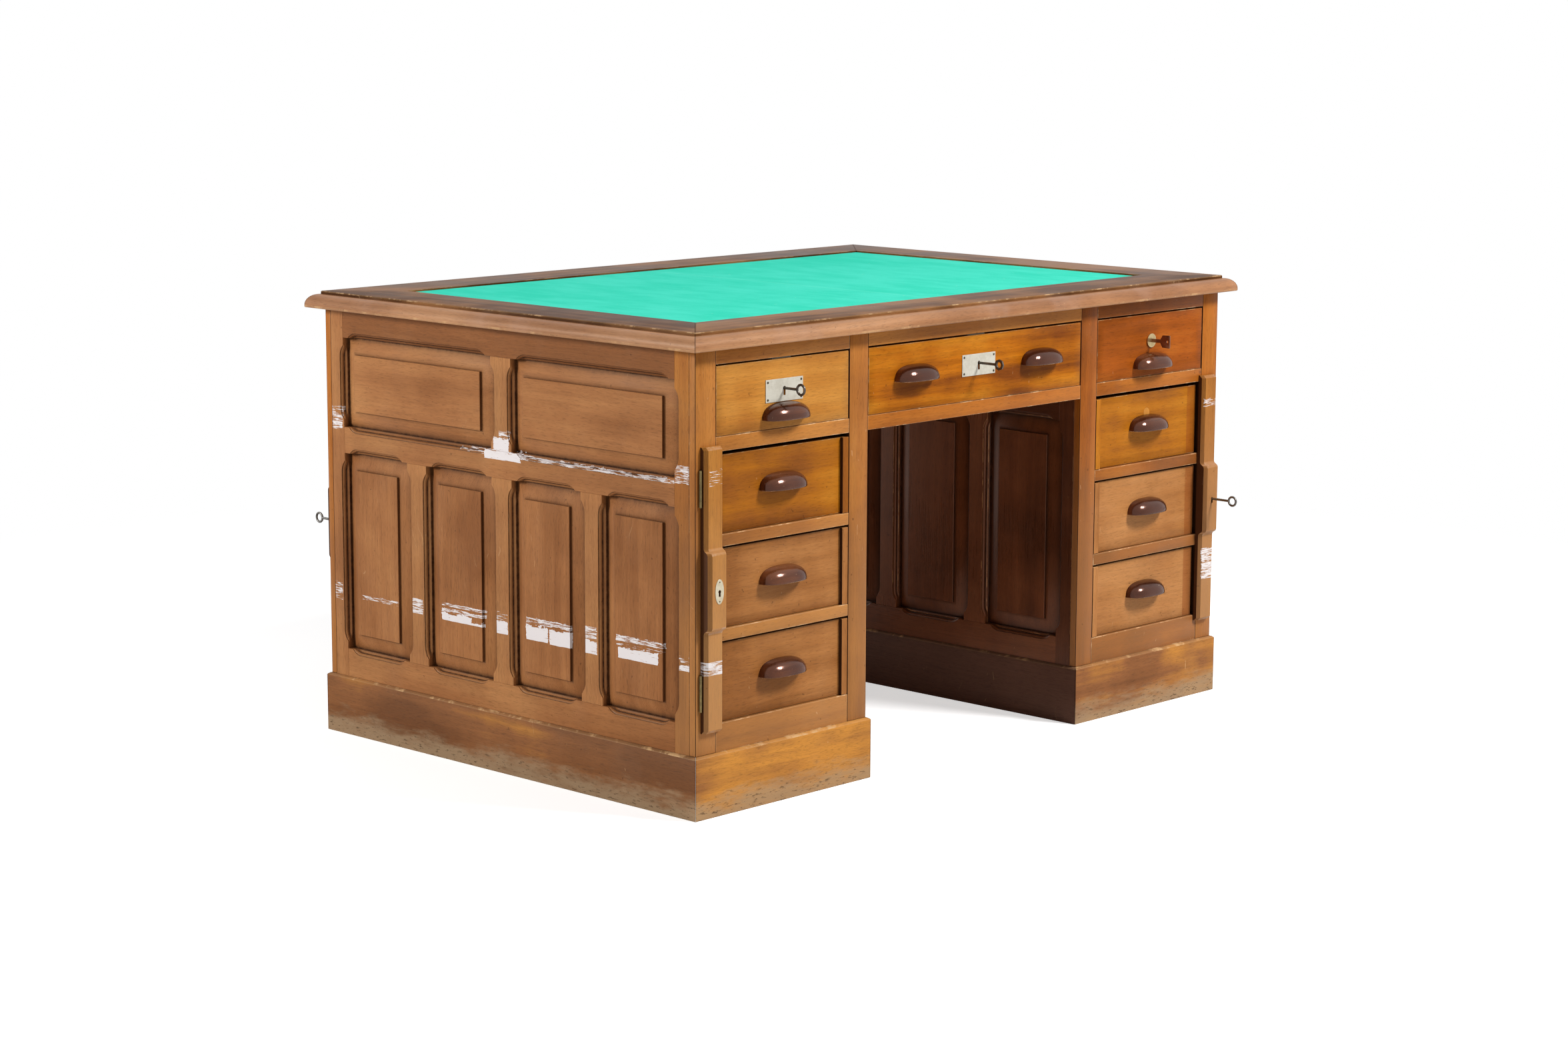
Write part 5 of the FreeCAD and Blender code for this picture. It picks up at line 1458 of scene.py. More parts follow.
@dataclass
class PlateLock:
    """Square plate, case and keyhole of a drawer lock."""

    middle: float
    plate: Extent = (86.0, 1.2, 37.0)
    plate_low: float = 654.2
    case: Extent = (44.0, 14.0, 67.2)
    case_low: float = 657.2
    case_back: float = 6.0
    wall: float = 1.5
    bolt_wide: float = 13.0
    bolt_at: Pair = (-448.2, -444.2)
    screw_inset: float = 4.5

    def bolt(self, low: float, high: float, gap: float = 0.0) -> Shell:
        """The bolt between two levels, or the room for it with a gap all round."""
        front, back = self.bolt_at
        return centred(self.middle, self.bolt_wide + 2 * gap, (front - gap, back + gap),
                       (low, high), 0.0 if gap else 0.3)

    def keyhole(self, start: float, deep: float) -> list[Shell]:
        """What cuts the keyhole, from a start behind the desk's front."""
        return PLATE_KEYHOLE.tools(self.middle, CARCASS.key_level, CARCASS.front + start, deep)

    def mortise(self) -> list[Shell]:
        """What the lock takes out of the drawer front."""
        start = CARCASS.front + self.case_back
        return [centred(self.middle, self.case[0], (start, start + 18),
                        (self.case_low, self.case_low + self.case[2] + 5)),
                *self.keyhole(-3, 14)]

    def shells(self) -> list[Shell]:
        """Plate and hollow case."""
        face = CARCASS.front
        plate = centred(self.middle, self.plate[0], (face - self.plate[1], face),
                        (self.plate_low, self.plate_low + self.plate[2]), 0.35)
        wide, deep, tall = self.case
        case = cased(self.middle, wide, (face + self.case_back, face + self.case_back + deep),
                     (self.case_low, self.case_low + tall), self.wall,
                     [self.bolt(self.case_low + tall - 4, self.case_low + tall + 4, 0.3),
                      *self.keyhole(4, 5)])
        return [carved(plate, self.keyhole(-4, 8)), case]

    def screw_places(self) -> list[Point]:
        """Centres of the four screws on the plate's face."""
        across, up = self.plate[0] / 2 - self.screw_inset, self.plate[2] - 2 * self.screw_inset
        return [(self.middle + sign * across, CARCASS.front - self.plate[1],
                 self.plate_low + self.screw_inset + level)
                for sign in (-1, 1) for level in (0.0, up)]


class Screws:
    """Slotted screw heads, placed by Geometry Nodes on the points of a mesh."""

    inputs = {"Geometry": "Geometry", "Radius": "Float", "Height": "Float", "Slot": "Float",
              "Turn": "Vector", "Finish": "Material"}

    def __init__(self) -> None:
        self.tree = bpy.data.node_groups.new("screw_heads", "GeometryNodeTree")
        for name, kind in self.inputs.items():
            self.tree.interface.new_socket(name, in_out="INPUT", socket_type="NodeSocket" + kind)
        self.tree.interface.new_socket("Geometry", in_out="OUTPUT",
                                       socket_type="NodeSocketGeometry")
        self.fill_tree()

    def fill_tree(self) -> None:
        """Fills the tree that puts a slotted head on every point, each turned its own way."""
        nodes = Nodes(self.tree)
        given = {name: nodes.make("NodeGroupInput", out=name) for name in self.inputs}
        height = given["Height"]
        head = nodes.make("GeometryNodeMeshCylinder", values={
            "Vertices": 20, "Radius": given["Radius"], "Depth": height * 2.0}, out="Mesh")
        slot = nodes.make("GeometryNodeMeshCube", values={
            "Size": nodes.joined(0.02, given["Slot"], height)}, out="Mesh")
        lifted = nodes.make("GeometryNodeTransform", values={
            "Geometry": slot, "Translation": nodes.joined(0.0, 0.0, height)})
        cut = nodes.make("GeometryNodeMeshBoolean", {"operation": "DIFFERENCE"},
                         {0: head, 1: lifted}, out="Mesh")
        placed = nodes.make("GeometryNodeInstanceOnPoints", values={
            "Points": given["Geometry"], "Instance": cut, "Rotation": given["Turn"]})
        spin = nodes.make("FunctionNodeRandomValue", {"data_type": "FLOAT_VECTOR"},
                          {0: (0.0, 0.0, 0.0), 1: (0.0, 0.0, math.pi), "Seed": 7})
        spun = nodes.make("GeometryNodeRotateInstances", values={
            "Instances": placed, "Rotation": spin})
        real = nodes.make("GeometryNodeRealizeInstances", values={"Geometry": spun})
        nodes.closed("NodeGroupOutput", nodes.make("GeometryNodeSetMaterial", values={
            "Geometry": real, "Material": given["Finish"]}))

    def place(self, name: str, body: str, points: Sequence[Point], back: bool,
              radius: float = 1.9, height: float = 0.5) -> None:
        """Puts a screw on each point of one body.

        Args:
            name: the piece's name.
            body: the body that it rides on.
            points: screw places on the front, in millimetres.
            back: True turns them half round the desk.
            radius: head radius.
            height: how far a head stands out.
        """
        places = [HALF_TURN @ Vector(point) if back else Vector(point) for point in points]
        mesh = bpy.data.meshes.new(name + "_points")
        mesh.from_pydata([tuple(place * MM) for place in places], [], [])
        thing = linked(name, mesh)
        maker = thing.modifiers.new("heads", "NODES")
        maker.node_group = self.tree
        quarter = -math.pi / 2 if back else math.pi / 2
        wanted = {"Radius": radius * MM, "Height": height * MM, "Slot": radius * 0.3 * MM,
                  "Turn": (quarter, 0.0, 0.0), "Finish": Finish.SCREW.made}
        for item in self.tree.interface.items_tree:
            if item.name in wanted:
                maker[item.identifier] = wanted[item.name]
        graph = bpy.context.evaluated_depsgraph_get()
        solid = bpy.data.meshes.new_from_object(thing.evaluated_get(graph))
        thing.modifiers.remove(maker)
        thing.data = solid
        bpy.data.meshes.remove(mesh)
        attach(thing, body)
        log.info("%s: %d screws on %s", name, len(places), body)


# Drawers


@dataclass
class CupPull:
    """Hooded wooden pull with a finger hollow open below."""

    middle: float
    face: float
    level: float
    length: float = 100.0
    reach: float = 28.0
    height: float = 27.0
    wall: float = 6.0
    rim: float = 1.1
    fullness: float = 0.76
    roundness: float = 0.9
    lengthwise: int = 48
    round_steps: int = 16

    def dome(self, half: float, out: float, up: float, lift: float) -> list[list[Vector]]:
        """Rows of points over a quarter dome, from its back edge to its lower edge.

        Args:
            half: half its length.
            out: how far it stands out.
            up: its height.
            lift: level of its lower edge above the pull's.

        Returns:
            One row of points for each step round the dome.
        """
        rows = []
        for step in range(self.round_steps + 1):
            round_angle = math.pi / 2 * step / self.round_steps
            row = []
            for index in range(self.lengthwise + 1):
                angle = math.pi * index / self.lengthwise
                slim = math.sin(angle) ** self.fullness
                along = math.copysign(abs(math.cos(angle)) ** self.fullness, math.cos(angle))
                row.append(Vector((
                    self.middle - half * along,
                    self.face - out * slim * math.sin(round_angle) ** self.roundness,
                    self.level + lift + up * slim * math.cos(round_angle) ** self.roundness)))
            rows.append(row)
        return rows

    def shell(self) -> Shell:
        """The pull as one closed surface with a rounded rim."""
        outer = self.dome(self.length / 2, self.reach, self.height - self.rim, self.rim)
        inner = self.dome(self.length / 2 - self.wall, self.reach - self.wall,
                          self.height - self.wall - self.rim, self.rim)
        rim_rows = [[a.lerp(b, share) - Vector((0.0, 0.0, self.rim * drop))
                     for a, b in zip(outer[-1], inner[-1])]
                    for share, drop in ((0.12, 0.75), (0.35, 1.0), (0.65, 1.0), (0.88, 0.75))]
        rim = range(len(outer) - 1, len(outer) + len(rim_rows))
        work = bmesh.new()
        layer = work.faces.layers.int.new("worn_and_highlight")
        rows = [[work.verts.new(point) for point in row]
                for row in outer + rim_rows + inner[::-1]]
        for number, (row, after) in enumerate(zip(rows, rows[1:] + rows[:1])):
            for index in range(self.lengthwise):
                face = work.faces.new((row[index], row[index + 1], after[index + 1],
                                       after[index]))
                face[layer] = int(number in rim)
        work.faces.new([row[0] for row in reversed(rows)])
        work.faces.new([row[-1] for row in rows])
        bmesh.ops.remove_doubles(work, verts=work.verts[:], dist=0.02)
        bmesh.ops.dissolve_degenerate(work, edges=work.edges[:], dist=0.005)
        bmesh.ops.recalc_face_normals(work, faces=work.faces[:])
        work.verts.index_update()
        result = Shell([vertex.co.copy() for vertex in work.verts],
                       [tuple(vertex.index for vertex in face.verts) for face in work.faces],
                       [float(face[layer]) for face in work.faces])
        work.free()
        return result


@dataclass
class Drawer:
    """One drawer: front, sides, back, bottom, and the flush strip of a lower one."""

    name: str
    low: float
    high: float
    level: float
    height: float
    recess: float
    gap: float
    finish: Finish
    pulls: Spans
    back: bool = False
    lock: PlateLock | None = None
    cylinder: bool = False
    strip: float | None = None
    tone: float = 0.0
    plug: Pair | None = None
    rim: float = 26.0
    rim_dirt: float = 0.26
    floor_gap: float = 0.8
    seat_gap: float = 0.3
    lower_sides: float = 7.0
    thick: float = 20.0
    side: float = 10.0
    rear_board: float = 9.0
    bottom: float = 6.0
    bottom_up: float = 9.0
    strip_wide: float = 14.0
    reach: float = 442.0

    def board(self, low: Point, high: Point) -> Shell:
        """The front board, with a rim in its face for the dirt to fade in."""
        work = box_work(low, high, 0.9, 2)
        work.faces.ensure_lookup_table()
        show = min(work.faces, key=lambda face: face.calc_center_median().y)
        bmesh.ops.inset_individual(work, faces=[show], thickness=self.rim)
        return taken(work)

    def front(self, stock: Stock, face: float, low: float, high: float) -> Shell:
        """The front with its lock's room and its round plug.

        Args:
            stock: the piece, which gets the plug.
            face: Y of the front's face.
            low: level of its lower edge.
            high: level of its upper edge.

        Returns:
            The dirtied front.
        """
        front = self.board((self.low, face, low), (self.high, face + self.thick, high))
        if self.lock:
            front = carved(front, self.lock.mortise())
        if self.cylinder:
            front = carved(front, [rod((self.pulls[0][0], face - 2, CARCASS.key_level), 30,
                                       10.55, 1, 48)])
        if self.plug:
            across, up = self.plug
            front = carved(front, [rod((across, face - 1, up), 5, 8.6, 1, 40)])
            stock.add(rod((across, face, up), 3.9, 8.4, 1, 40), Finish.TOP_DRAWER, Run.Z, 0.5)
        return front.dirtied(lambda point: self.rim_dirt * max(0.0, 1.0 - min(
            point.x - self.low, self.high - point.x, point.z - low, high - point.z) / self.rim))

    def boards(self) -> Stock:
        """The wooden boards of the drawer."""
        stock = Stock(self.name + "_boards", self.back)
        face = CARCASS.front + self.recess
        inner, rear = face + self.thick, CARCASS.front + self.reach
        low, high = self.level + self.floor_gap, self.level + self.height - self.gap
        stock.add(self.front(stock, face, low, high), self.finish, Run.X, self.tone)
        side_low, side_high = self.level + self.seat_gap, high - self.lower_sides
        for start in (self.low, self.high - self.side):
            stock.add(block((start, inner, side_low), (start + self.side, rear, side_high), 0.8),
                      Finish.LINING, Run.Y)
        floor = side_low + self.bottom_up
        left, right = self.low + self.side, self.high - self.side
        stock.add(block((left, inner, floor), (right, rear, floor + self.bottom), 0.2),
                  Finish.LINING, Run.X)
        stock.add(block((left, rear - self.rear_board, floor + self.bottom),
                        (right, rear, side_high), 0.6), Finish.LINING, Run.X)
        if self.strip is not None:
            strip = block((self.strip, CARCASS.front, low),
                          (self.strip + self.strip_wide, face, high), 0.6)
            # The strip's left side is painted dark as its shade.
            stock.add(strip.darkened_for_shade_and_joints(False, lambda way: way.x < -0.7), self.finish, Run.Z,
                      -0.4 if self.strip > self.low else -0.1)
        return stock

    def make(self, screws: Screws) -> None:
        """Makes the drawer, its pulls and its plate lock.

        Args:
            screws: what puts the lock plate's screws in.
        """
        self.boards().finish(self.name, "mahogany", [self.name])
        cups = Stock(self.name + "_cup", self.back)
        for middle, level in self.pulls:
            cups.add(CupPull(middle, CARCASS.front + self.recess, level).shell(), Finish.PULL)
        node = self.name + ("_pulls" if len(self.pulls) > 1 else "_pull")
        cups.finish(self.name, "dark_mahogany", [] if self.back else [node], crease=50.0)
        if not self.lock:
            return
        plate = Stock(self.name + "_lock_plate", self.back)
        for shell in self.lock.shells():
            plate.add(shell, Finish.NICKEL)
        node = self.name.replace("_top_drawer", "_lock").replace("_drawer", "_lock")
        plate.finish(self.name, "nickel_plate", [] if self.back else [node])
        screws.place(self.name + "_lock_screws", self.name, self.lock.screw_places(), self.back)
        if self.back:
            bolt = Stock(self.name + "_lock_bolt_bar", True)
            bolt.add(self.lock.bolt(700.4, 724.4), Finish.STEEL)
            bolt.finish(self.name, "steel")


@dataclass(frozen=True)
class DrawerPlan:
    """Where the fronts of the drawers lie, and how far they have sagged."""

    top_start: float = 46.2
    lower_start: float = 53.5
    recess: float = 6.0
    top_gap: float = 2.8
    second_gap: float = 6.4
    lower_gap: float = 3.8
    worn_side: float = 1.5
    side_gap: float = 1.0
    top_pull: float = 626.6
    lower_pull: float = 58.5
    centre_pull: Pair = (163.5, 660.7)
    plug: float = 89.0
    strip: float = 14.0
    left_tones: tuple[float, ...] = (-0.36, -0.30, -0.16)
    right_tones: tuple[float, ...] = (0.28, 0.04, 0.04)

    def top(self, name: str, side: str, back: bool) -> Drawer:
        """A top drawer of a pedestal."""
        middle = CARCASS.across(side, CARCASS.pedestal / 2)
        wide = CARCASS.drawer_end - self.top_start
        low = CARCASS.across(side, self.top_start, wide)
        plain = side == "left" or back
        return Drawer(name, low, low + wide - self.worn_side, CARCASS.top_open,
                      CARCASS.top_open_height, 0.0, self.top_gap,
                      Finish.TOP_DRAWER if plain else Finish.REDDER, [(middle, self.top_pull)],
                      back, lock=PlateLock(middle) if plain else None, cylinder=not plain)

    def lower(self, prefix: str, side: str, back: bool) -> list[Drawer]:
        """The three lower drawers of a pedestal, from the bottom."""
        middle = CARCASS.across(side, CARCASS.pedestal / 2)
        wide = CARCASS.drawer_end - self.lower_start
        low = CARCASS.across(side, self.lower_start, wide)
        drawers = []
        for index, word in enumerate(("bottom", "third", "second")):
            level = CARCASS.bottom_open + index * CARCASS.pitch
            second = word == "second"
            drawers.append(Drawer(
                f"{prefix}_{word}_drawer", low, low + wide, level, CARCASS.open_height,
                self.recess, self.second_gap if second else self.lower_gap,
                Finish.SECOND_DRAWER if second else Finish.DRAWER,
                [(middle, level + self.lower_pull)], back,
                strip=low + wide - self.strip if side == "left" else low,
                tone=(self.left_tones if side == "left" else self.right_tones)[index],
                plug=(middle, level + self.plug) if second and prefix == "right" else None))
        return drawers

    def all(self) -> list[Drawer]:
        """The nine drawers of the front, then the nine of the back."""
        drawers = []
        across, level = self.centre_pull
        half = CARCASS.width / 2 - CARCASS.pedestal - self.side_gap
        for back in (False, True):
            for side, prefix in zip(("left", "right"),
                                    ("back_right", "back_left") if back else ("left", "right")):
                drawers.append(self.top(prefix + "_top_drawer", side, back))
                drawers += self.lower(prefix, side, back)
            drawers.append(Drawer(
                "back_centre_drawer" if back else "centre_drawer", -half, half - self.worn_side,
                CARCASS.top_open, CARCASS.top_open_height, 0.0, self.top_gap, Finish.CENTRE,
                [(-across, level), (across, level)], back, lock=PlateLock(0.0), tone=0.13))
        return drawers


# Locking stiles


@dataclass
class LockingStile:
    """Hinged upright that locks a stack of three drawers."""

    prefix: str
    side: str
    back: bool
    inset: float = 11.0
    width: float = 41.5
    ends: float = 12.5
    swell: float = 9.0
    foot: float = 70.0
    shoulder: float = 13.0
    bevel: float = 5.0
    pocket: Extent = (30.0, 14.0, 62.0)

    def step_back(self, level: float) -> float:
        """How far the face lies behind the thick middle at a level.

        Args:
            level: height above the middle of the stile, either way.

        Returns:
            0 at the thick middle, the full swell at the thin ends.
        """
        away = abs(level)
        start = self.foot - self.shoulder
        if away <= start:
            return 0.0
        if away >= self.foot:
            return self.swell
        bend = (self.swell ** 2 + self.shoulder ** 2) / (4 * self.swell)
        run = away - start
        if run <= self.shoulder / 2:
            return bend - math.sqrt(bend ** 2 - run ** 2)
        run = self.shoulder - run
        return self.swell - bend + math.sqrt(bend ** 2 - run ** 2)

    def blank(self) -> Shell:
        """The moulded upright before its mortises."""
        low_x = CARCASS.across(self.side, self.inset, self.width)
        high_x = low_x + self.width
        half = (CARCASS.stile_high - CARCASS.stile_low) / 2
        back = CARCASS.front - CARCASS.stile_gap
        start = self.foot - self.shoulder
        levels = {0.0, half, half - 0.8, half - self.bevel, start, self.foot}
        levels.update(start + self.shoulder * step / 10 for step in range(11))
        sections = []
        for level in sorted({sign * value for value in levels for sign in (-1, 1)}):
            ends = max(0.0, abs(level) - (half - self.bevel))
            face = CARCASS.front - (self.ends + self.swell) + self.step_back(level) + ends
            cut = min(self.bevel, back - face - 0.6)
            sections.append([Vector((x, y, CARCASS.stile_key + level)) for x, y in (
                (low_x, back), (high_x, back), (high_x, face + cut + 0.4),
                (high_x - 0.4, face + cut), (high_x - cut, face + 0.3),
                (high_x - cut - 0.5, face), (low_x + cut + 0.5, face),
                (low_x + cut, face + 0.3), (low_x + 0.4, face + cut),
                (low_x, face + cut + 0.4))])
        return loft(sections, arris=(2, 4, 6, 8))

    def make(self) -> None:
        """Makes the stile with its keyhole, lock pocket and leaf mortises."""
        middle, key = CARCASS.across(self.side, CARCASS.stile_lock), CARCASS.stile_key
        back = CARCASS.front - CARCASS.stile_gap
        wide, deep, tall = self.pocket
        face = CARCASS.front - self.ends - self.swell
        tools = [centred(middle, wide, (back - deep, back + 2), (key - tall / 2, key + tall / 2)),
                 *STILE_KEYHOLE.tools(middle, key, face - 2, 21)]
        for level in CARCASS.hinge_levels:
            tools.append(set_between(self.side, CARCASS.hinge_axis, CARCASS.leaf,
                                     (back - CARCASS.leaf_thick, CARCASS.front + 1),
                                     (level, level + CARCASS.hinge_height), 0.0))
        stock = Stock(self.prefix + "_locking_stile_wood", self.back)
        # The stile's sides are painted dark as their shade, its slanting chamfers partly.
        shell = carved(self.blank(), tools).darkened_for_shade_and_joints(False, lambda way: abs(way.x) > 0.9)
        shell.darkened_for_shade_and_joints(False, lambda way: 0.5 < abs(way.x) < 0.9, 0.4)
        stock.add(shell, Finish.STILE if self.back else Finish.TAPED_STILE, Run.Z,
                  0.28 if self.side == "left" else -0.3)
        stock.finish(self.prefix + "_stile", "mahogany", [self.prefix + "_locking_stile"],
                     crease=24.0)


@dataclass
class StileBrass:
    """Moving hinge leaves and lock of a locking stile, with its oval plate if keyless."""

    prefix: str
    side: str
    back: bool
    axis_out: float = 3.0
    knuckle: float = 2.4
    pin: float = 1.15
    count: int = 5
    knuckle_gap: float = 0.2
    side_gap: float = 0.3
    case: Extent = (30.0, 14.0, 62.0)
    wall: float = 1.5
    window: Pair = (390.15, 395.15)
    window_wide: float = 22.0
    plate_out: float = 21.5
    oval: Extent = (9.5, 20.0, 0.9)

    def leaf_shells(self, level: float) -> list[Shell]:
        """Knuckles, webs and leaf of one moving hinge half."""
        axis_x, axis_y = (CARCASS.across(self.side, CARCASS.hinge_axis),
                          CARCASS.front - self.axis_out)
        back = CARCASS.front - CARCASS.stile_gap
        y = (back - CARCASS.leaf_thick, back)
        clear = self.knuckle + self.side_gap
        pitch = CARCASS.hinge_height / self.count
        tall = pitch - self.knuckle_gap
        shells = [set_between(self.side, CARCASS.hinge_axis + clear, CARCASS.leaf - clear, y,
                              (level, level + CARCASS.hinge_height), 0.15)]
        for index in range(1, self.count, 2):
            low = level + index * pitch + self.knuckle_gap / 2
            post = rod((axis_x, axis_y, low), tall, self.knuckle, 2, 28)
            web = set_between(self.side, CARCASS.hinge_axis, clear + 1.0, y, (low, low + tall),
                              0.0)
            bore = rod((axis_x, axis_y, low - 1), pitch + 2, self.pin, 2, 20)
            shells += [carved(post, [bore]), carved(web, [bore])]
        return shells

    def make(self, screws: Screws) -> None:
        """Makes the fittings.

        Args:
            screws: what puts the keyhole plate's pins in.
        """
        middle, key = CARCASS.across(self.side, CARCASS.stile_lock), CARCASS.stile_key
        wide, deep, tall = self.case
        back = CARCASS.front - CARCASS.stile_gap
        stock = Stock(self.prefix + "_stile_brass", self.back)
        for level in CARCASS.hinge_levels:
            for shell in self.leaf_shells(level):
                stock.add(shell, Finish.BRASS)
        stock.add(cased(middle, wide, (back - deep, back), (key - tall / 2, key + tall / 2),
                        self.wall, [centred(middle, self.window_wide, (back - 2.5, back + 1),
                                            self.window),
                                    *STILE_KEYHOLE.tools(middle, key, back - deep - 1, 4)]),
                  Finish.BRASS)
        stock.finish(self.prefix + "_stile", "old_brass",
                     [] if self.back else [self.prefix + "_stile_lock"])
        if self.side == "left":
            self.add_plate(middle, key, screws)

    def add_plate(self, middle: float, key: float, screws: Screws) -> None:
        """Makes the oval keyhole plate with its pins.

        Args:
            middle: X of the keyhole.
            key: level of the keyhole.
            screws: what puts the pins in.
        """
        face = CARCASS.front - self.plate_out
        across, up, thick = self.oval
        turns = [2 * math.pi * step / 56 for step in range(56)]
        sections = [[Vector((middle + (across - shrink) * math.cos(angle), face - depth,
                             key + (up - shrink) * math.sin(angle))) for angle in turns]
                    for depth, shrink in ((0.0, 0.0), (thick - 0.3, 0.0), (thick, 0.35))]
        name, body = self.prefix + "_stile_brass", self.prefix + "_stile"
        plate = Stock(name + "_keyhole_plate", self.back)
        plate.add(carved(loft(sections), STILE_KEYHOLE.tools(middle, key, face - 2, 4)),
                  Finish.PLATE)
        plate.finish(body, "old_brass")
        screws.place(name + "_plate_pins", body,
                     [(middle, face - thick, key + sign * (up - 4.5)) for sign in (-1, 1)],
                     self.back, 1.15, 0.3)


# The flat key, and the fittings that keep their own solids


@dataclass
class FlatKey:
    """Flat key of the cylinder lock, with the plug that it turns."""

    out: float = 33.0
    bow: tuple[Pair, ...] = ((-10.4, 4.5), (-6.0, 11.0), (9.4, 11.5),
                                            (10.4, 10.4))
    thick: float = 2.4
    hole: float = 2.2
    hole_out: float = 38.0
    blade: Pair = (1.8, 6.5)
    blade_out: float = 24.0
    plug: Extent = (6.0, 2.5, 26.0)

    def make(self) -> None:
        """Makes the key and its plug as one piece."""
        middle = CARCASS.across("right", CARCASS.pedestal / 2)
        face, level, half = CARCASS.front, CARCASS.key_level, self.thick / 2
        outline = [*self.bow, *((out, -up) for out, up in reversed(self.bow))]
        sections = [[Vector((middle + x, face - self.out - out * share, level + up * share))
                     for out, up in outline]
                    for x, share in ((-half, 0.96), (0.3 - half, 1.0), (half - 0.3, 1.0),
                                     (half, 0.96))]
        bore = rod((middle - half - 1, face - self.hole_out, level), self.thick + 2, self.hole, 0)
        stock = Stock("right_drawer_flat_key")
        stock.add(carved(loft(sections), [bore]), Finish.COPPER)
        radius, proud, deep = self.plug
        stock.add(rod((middle, face - proud, level), proud + deep, radius, 1, 40),
                  Finish.CYLINDER)
        wide, high = self.blade
        stock.add(centred(middle, wide, (face - self.blade_out, face - proud + 1.0),
                          (level - high / 2, level + high / 2), 0.15), Finish.COPPER)
        stock.finish("right_drawer_key", "steel", ["right_key"])


OWN_SHAPES: dict[Finish, tuple[str, ...]] = {
    Finish.BARE: ("top_board", "drawer_runners", "inner_boards"),
    Finish.BRASS: ("front_stile_fittings", "back_stile_fittings"),
    Finish.CYLINDER: ("right_cylinder_lock",),
    Finish.STEEL: ("left_lock_bolt", "centre_lock_bolt", "right_stile_bolt",
                   "back_left_stile_bolt", "right_stile_key", "back_left_stile_key"),
    Finish.DARK_STEEL: ("left_key", "centre_key"),
}


def dress_solids(frame: dict) -> None:
    """Gives their finishes to the solids whose own shape is shown."""
    for finish, names in OWN_SHAPES.items():
        for name in names:
            mesh = frame["nodes"][name].data
            mesh.materials.clear()
            mesh.materials.append(finish.made)
            log.info("%s: keeps its own shape", name)


# Floor, light and camera


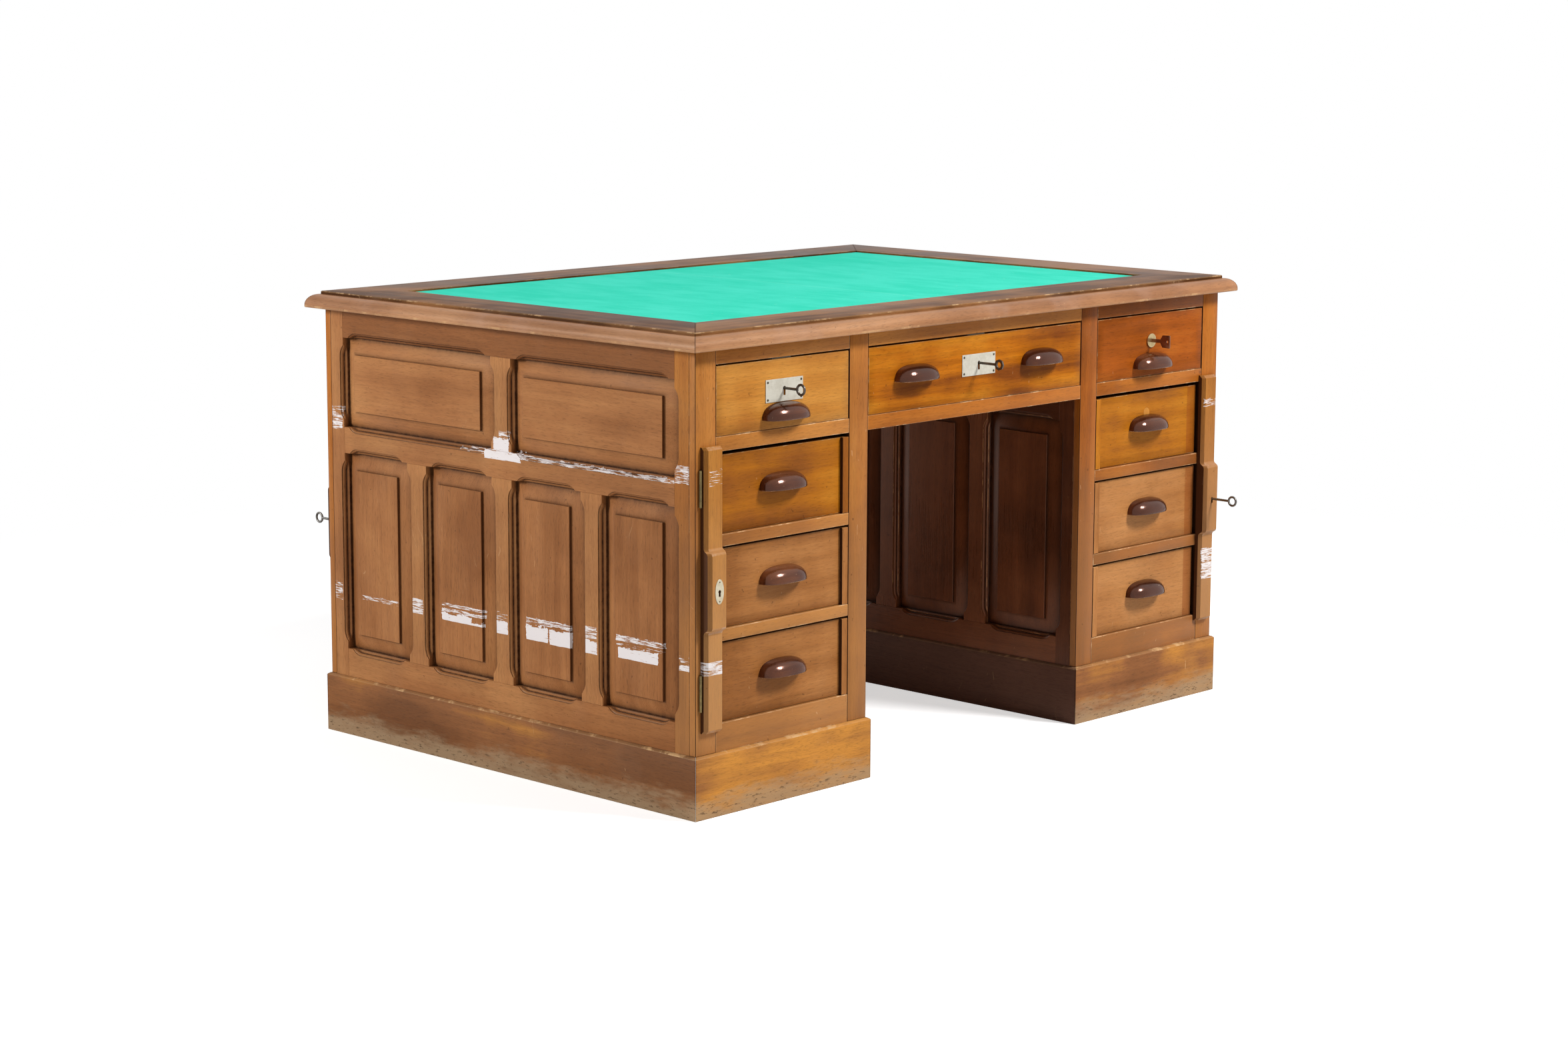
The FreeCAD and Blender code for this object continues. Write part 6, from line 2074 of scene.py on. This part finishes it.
@dataclass
class Studio:
    """White floor and surroundings, soft lamps and the camera of the photograph."""

    position: Point = (-4.2909, -4.0958, 1.3525)
    heading: float = 46.336
    tilt: float = 9.641
    roll: float = 0.213
    lens: float = 76.342
    floor_half: float = 40.0
    fill: float = 0.22
    lamps: tuple[tuple[str, Point, Point, float, float], ...] = (
        ("front_right_softbox", (1.6, -3.6, 3.9), (0.0, -0.4, 0.45), 1.3, 270.0),
        ("left_softbox", (-4.4, 2.4, 2.2), (-0.6, 0.0, 0.45), 1.2, 165.0),
    )
    grey: Colour = (0.86, 0.86, 0.86)
    lift: float = 0.56
    fades: Pair = (1.3, 2.6)

    def add_floor(self) -> None:
        """Makes the floor, which looks white and keeps the desk's shadow."""
        half = self.floor_half
        mesh = bpy.data.meshes.new("studio_floor")
        mesh.from_pydata([(-half, -half, 0), (half, -half, 0), (half, half, 0), (-half, half, 0)],
                         [], [(0, 1, 2, 3)])
        nodes = MaterialNodes("studio_white")
        camera, glossy = (nodes.make("ShaderNodeLightPath", out=f"Is {ray} Ray")
                          for ray in ("Camera", "Glossy"))
        shaded = nodes.make("ShaderNodeBsdfDiffuse", values={"Color": self.grey})
        lifted, white = (nodes.make("ShaderNodeEmission", values={"Strength": strength})
                         for strength in (self.lift, 1.0))
        near = nodes.make("ShaderNodeAddShader", values={0: shaded, 1: lifted})
        away = nodes.between(nodes.make("ShaderNodeVectorMath", {"operation": "LENGTH"},
                                        {0: nodes.object_place()}, out="Value"), *self.fades)
        blended = nodes.make("ShaderNodeMixShader", values={0: away, 1: near, 2: white})
        mirrored = nodes.make("ShaderNodeMixShader", values={
            0: away * glossy, 1: shaded, 2: white})
        nodes.closed("ShaderNodeOutputMaterial", nodes.make(
            "ShaderNodeMixShader", values={0: camera, 1: mirrored, 2: blended}))
        mesh.materials.append(nodes.material)
        linked("studio_floor", mesh)

    def add_world(self) -> None:
        """White surroundings: full white where they are seen, softer as light."""
        world = bpy.data.worlds.new("studio")
        world.use_nodes = True
        nodes = Nodes(world.node_tree)
        camera, glossy = (nodes.make("ShaderNodeLightPath", out=f"Is {ray} Ray")
                          for ray in ("Camera", "Glossy"))
        light, seen = (nodes.make("ShaderNodeBackground", values={
            "Strength": strength, "Color": (1.0, 1.0, 1.0)}) for strength in (self.fill, 1.0))
        nodes.closed("ShaderNodeOutputWorld", nodes.make("ShaderNodeMixShader", values={
            0: camera.larger(glossy), 1: light, 2: seen}))
        bpy.context.scene.world = world

    def add_lamps(self) -> None:
        """Makes the soft lamps."""
        for name, place, target, size, power in self.lamps:
            lamp = bpy.data.lights.new(name, "AREA")
            lamp.shape = "DISK"
            lamp.size = size
            lamp.energy = power
            thing = linked(name, lamp)
            thing.location = place
            aim = Vector(target) - Vector(place)
            thing.rotation_euler = aim.to_track_quat("-Z", "Y").to_euler()

    def add_camera(self) -> None:
        """Makes the camera at the photograph's place."""
        yaw, pitch, roll = (math.radians(angle) for angle in (self.heading, self.tilt, self.roll))
        forward = Vector((math.sin(yaw) * math.cos(pitch), math.cos(yaw) * math.cos(pitch),
                          -math.sin(pitch)))
        right = Vector((math.cos(yaw), -math.sin(yaw), 0.0))
        up = right.cross(forward)
        right, up = (right * math.cos(roll) + up * math.sin(roll),
                     up * math.cos(roll) - right * math.sin(roll))
        lens = bpy.data.cameras.new("photograph")
        lens.lens = self.lens
        lens.sensor_width = 36.0
        lens.clip_start = 0.05
        lens.clip_end = 200.0
        camera = linked("photograph", lens)
        turn = Matrix((right, up, -forward)).transposed()
        camera.matrix_world = Matrix.Translation(self.position) @ turn.to_4x4()
        bpy.context.scene.camera = camera

    def make(self) -> None:
        """Makes the studio."""
        self.add_floor()
        self.add_world()
        self.add_lamps()
        self.add_camera()
        bpy.context.scene.view_settings.view_transform = "Standard"


def main() -> None:
    """Builds every sub-assembly in order."""
    logging.basicConfig(level=logging.INFO, format="%(name)s: %(message)s")
    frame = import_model()
    Studio().make()
    WritingTop().make()
    Plinths().make()
    ends = ([(153.0, 347.0, 4), (546.0, 156.0, 2)], 49.0)
    knees = ([(153.0, 391.0, 4)], 207.0)
    for name, node, at_x, outwards, (rows, top_rail), finish in (
            ("left_end_boards", "left_end", -678.0, -1, ends, Finish.TAPED_END),
            ("right_end_boards", "right_end", 654.0, 1, ends, Finish.END),
            ("left_kneehole_boards", "left_kneehole_side", -302.5, 1, knees, Finish.KNEEHOLE),
            ("right_kneehole_boards", "right_kneehole_side", 278.5, -1, knees, Finish.KNEEHOLE)):
        PanelledSide(name, node, at_x, outwards, rows, top_rail, finish).make()
    FaceFrame("front", False).make()
    FaceFrame("back", True).make()
    screws = Screws()
    for drawer in DrawerPlan().all():
        drawer.make(screws)
    for side, back, prefix in (("left", False, "left"), ("right", False, "right"),
                               ("left", True, "back_right"), ("right", True, "back_left")):
        LockingStile(prefix, side, back).make()
        StileBrass(prefix, side, back).make(screws)
    FlatKey().make()
    dress_solids(frame)


if __name__ == "__main__":
    main()
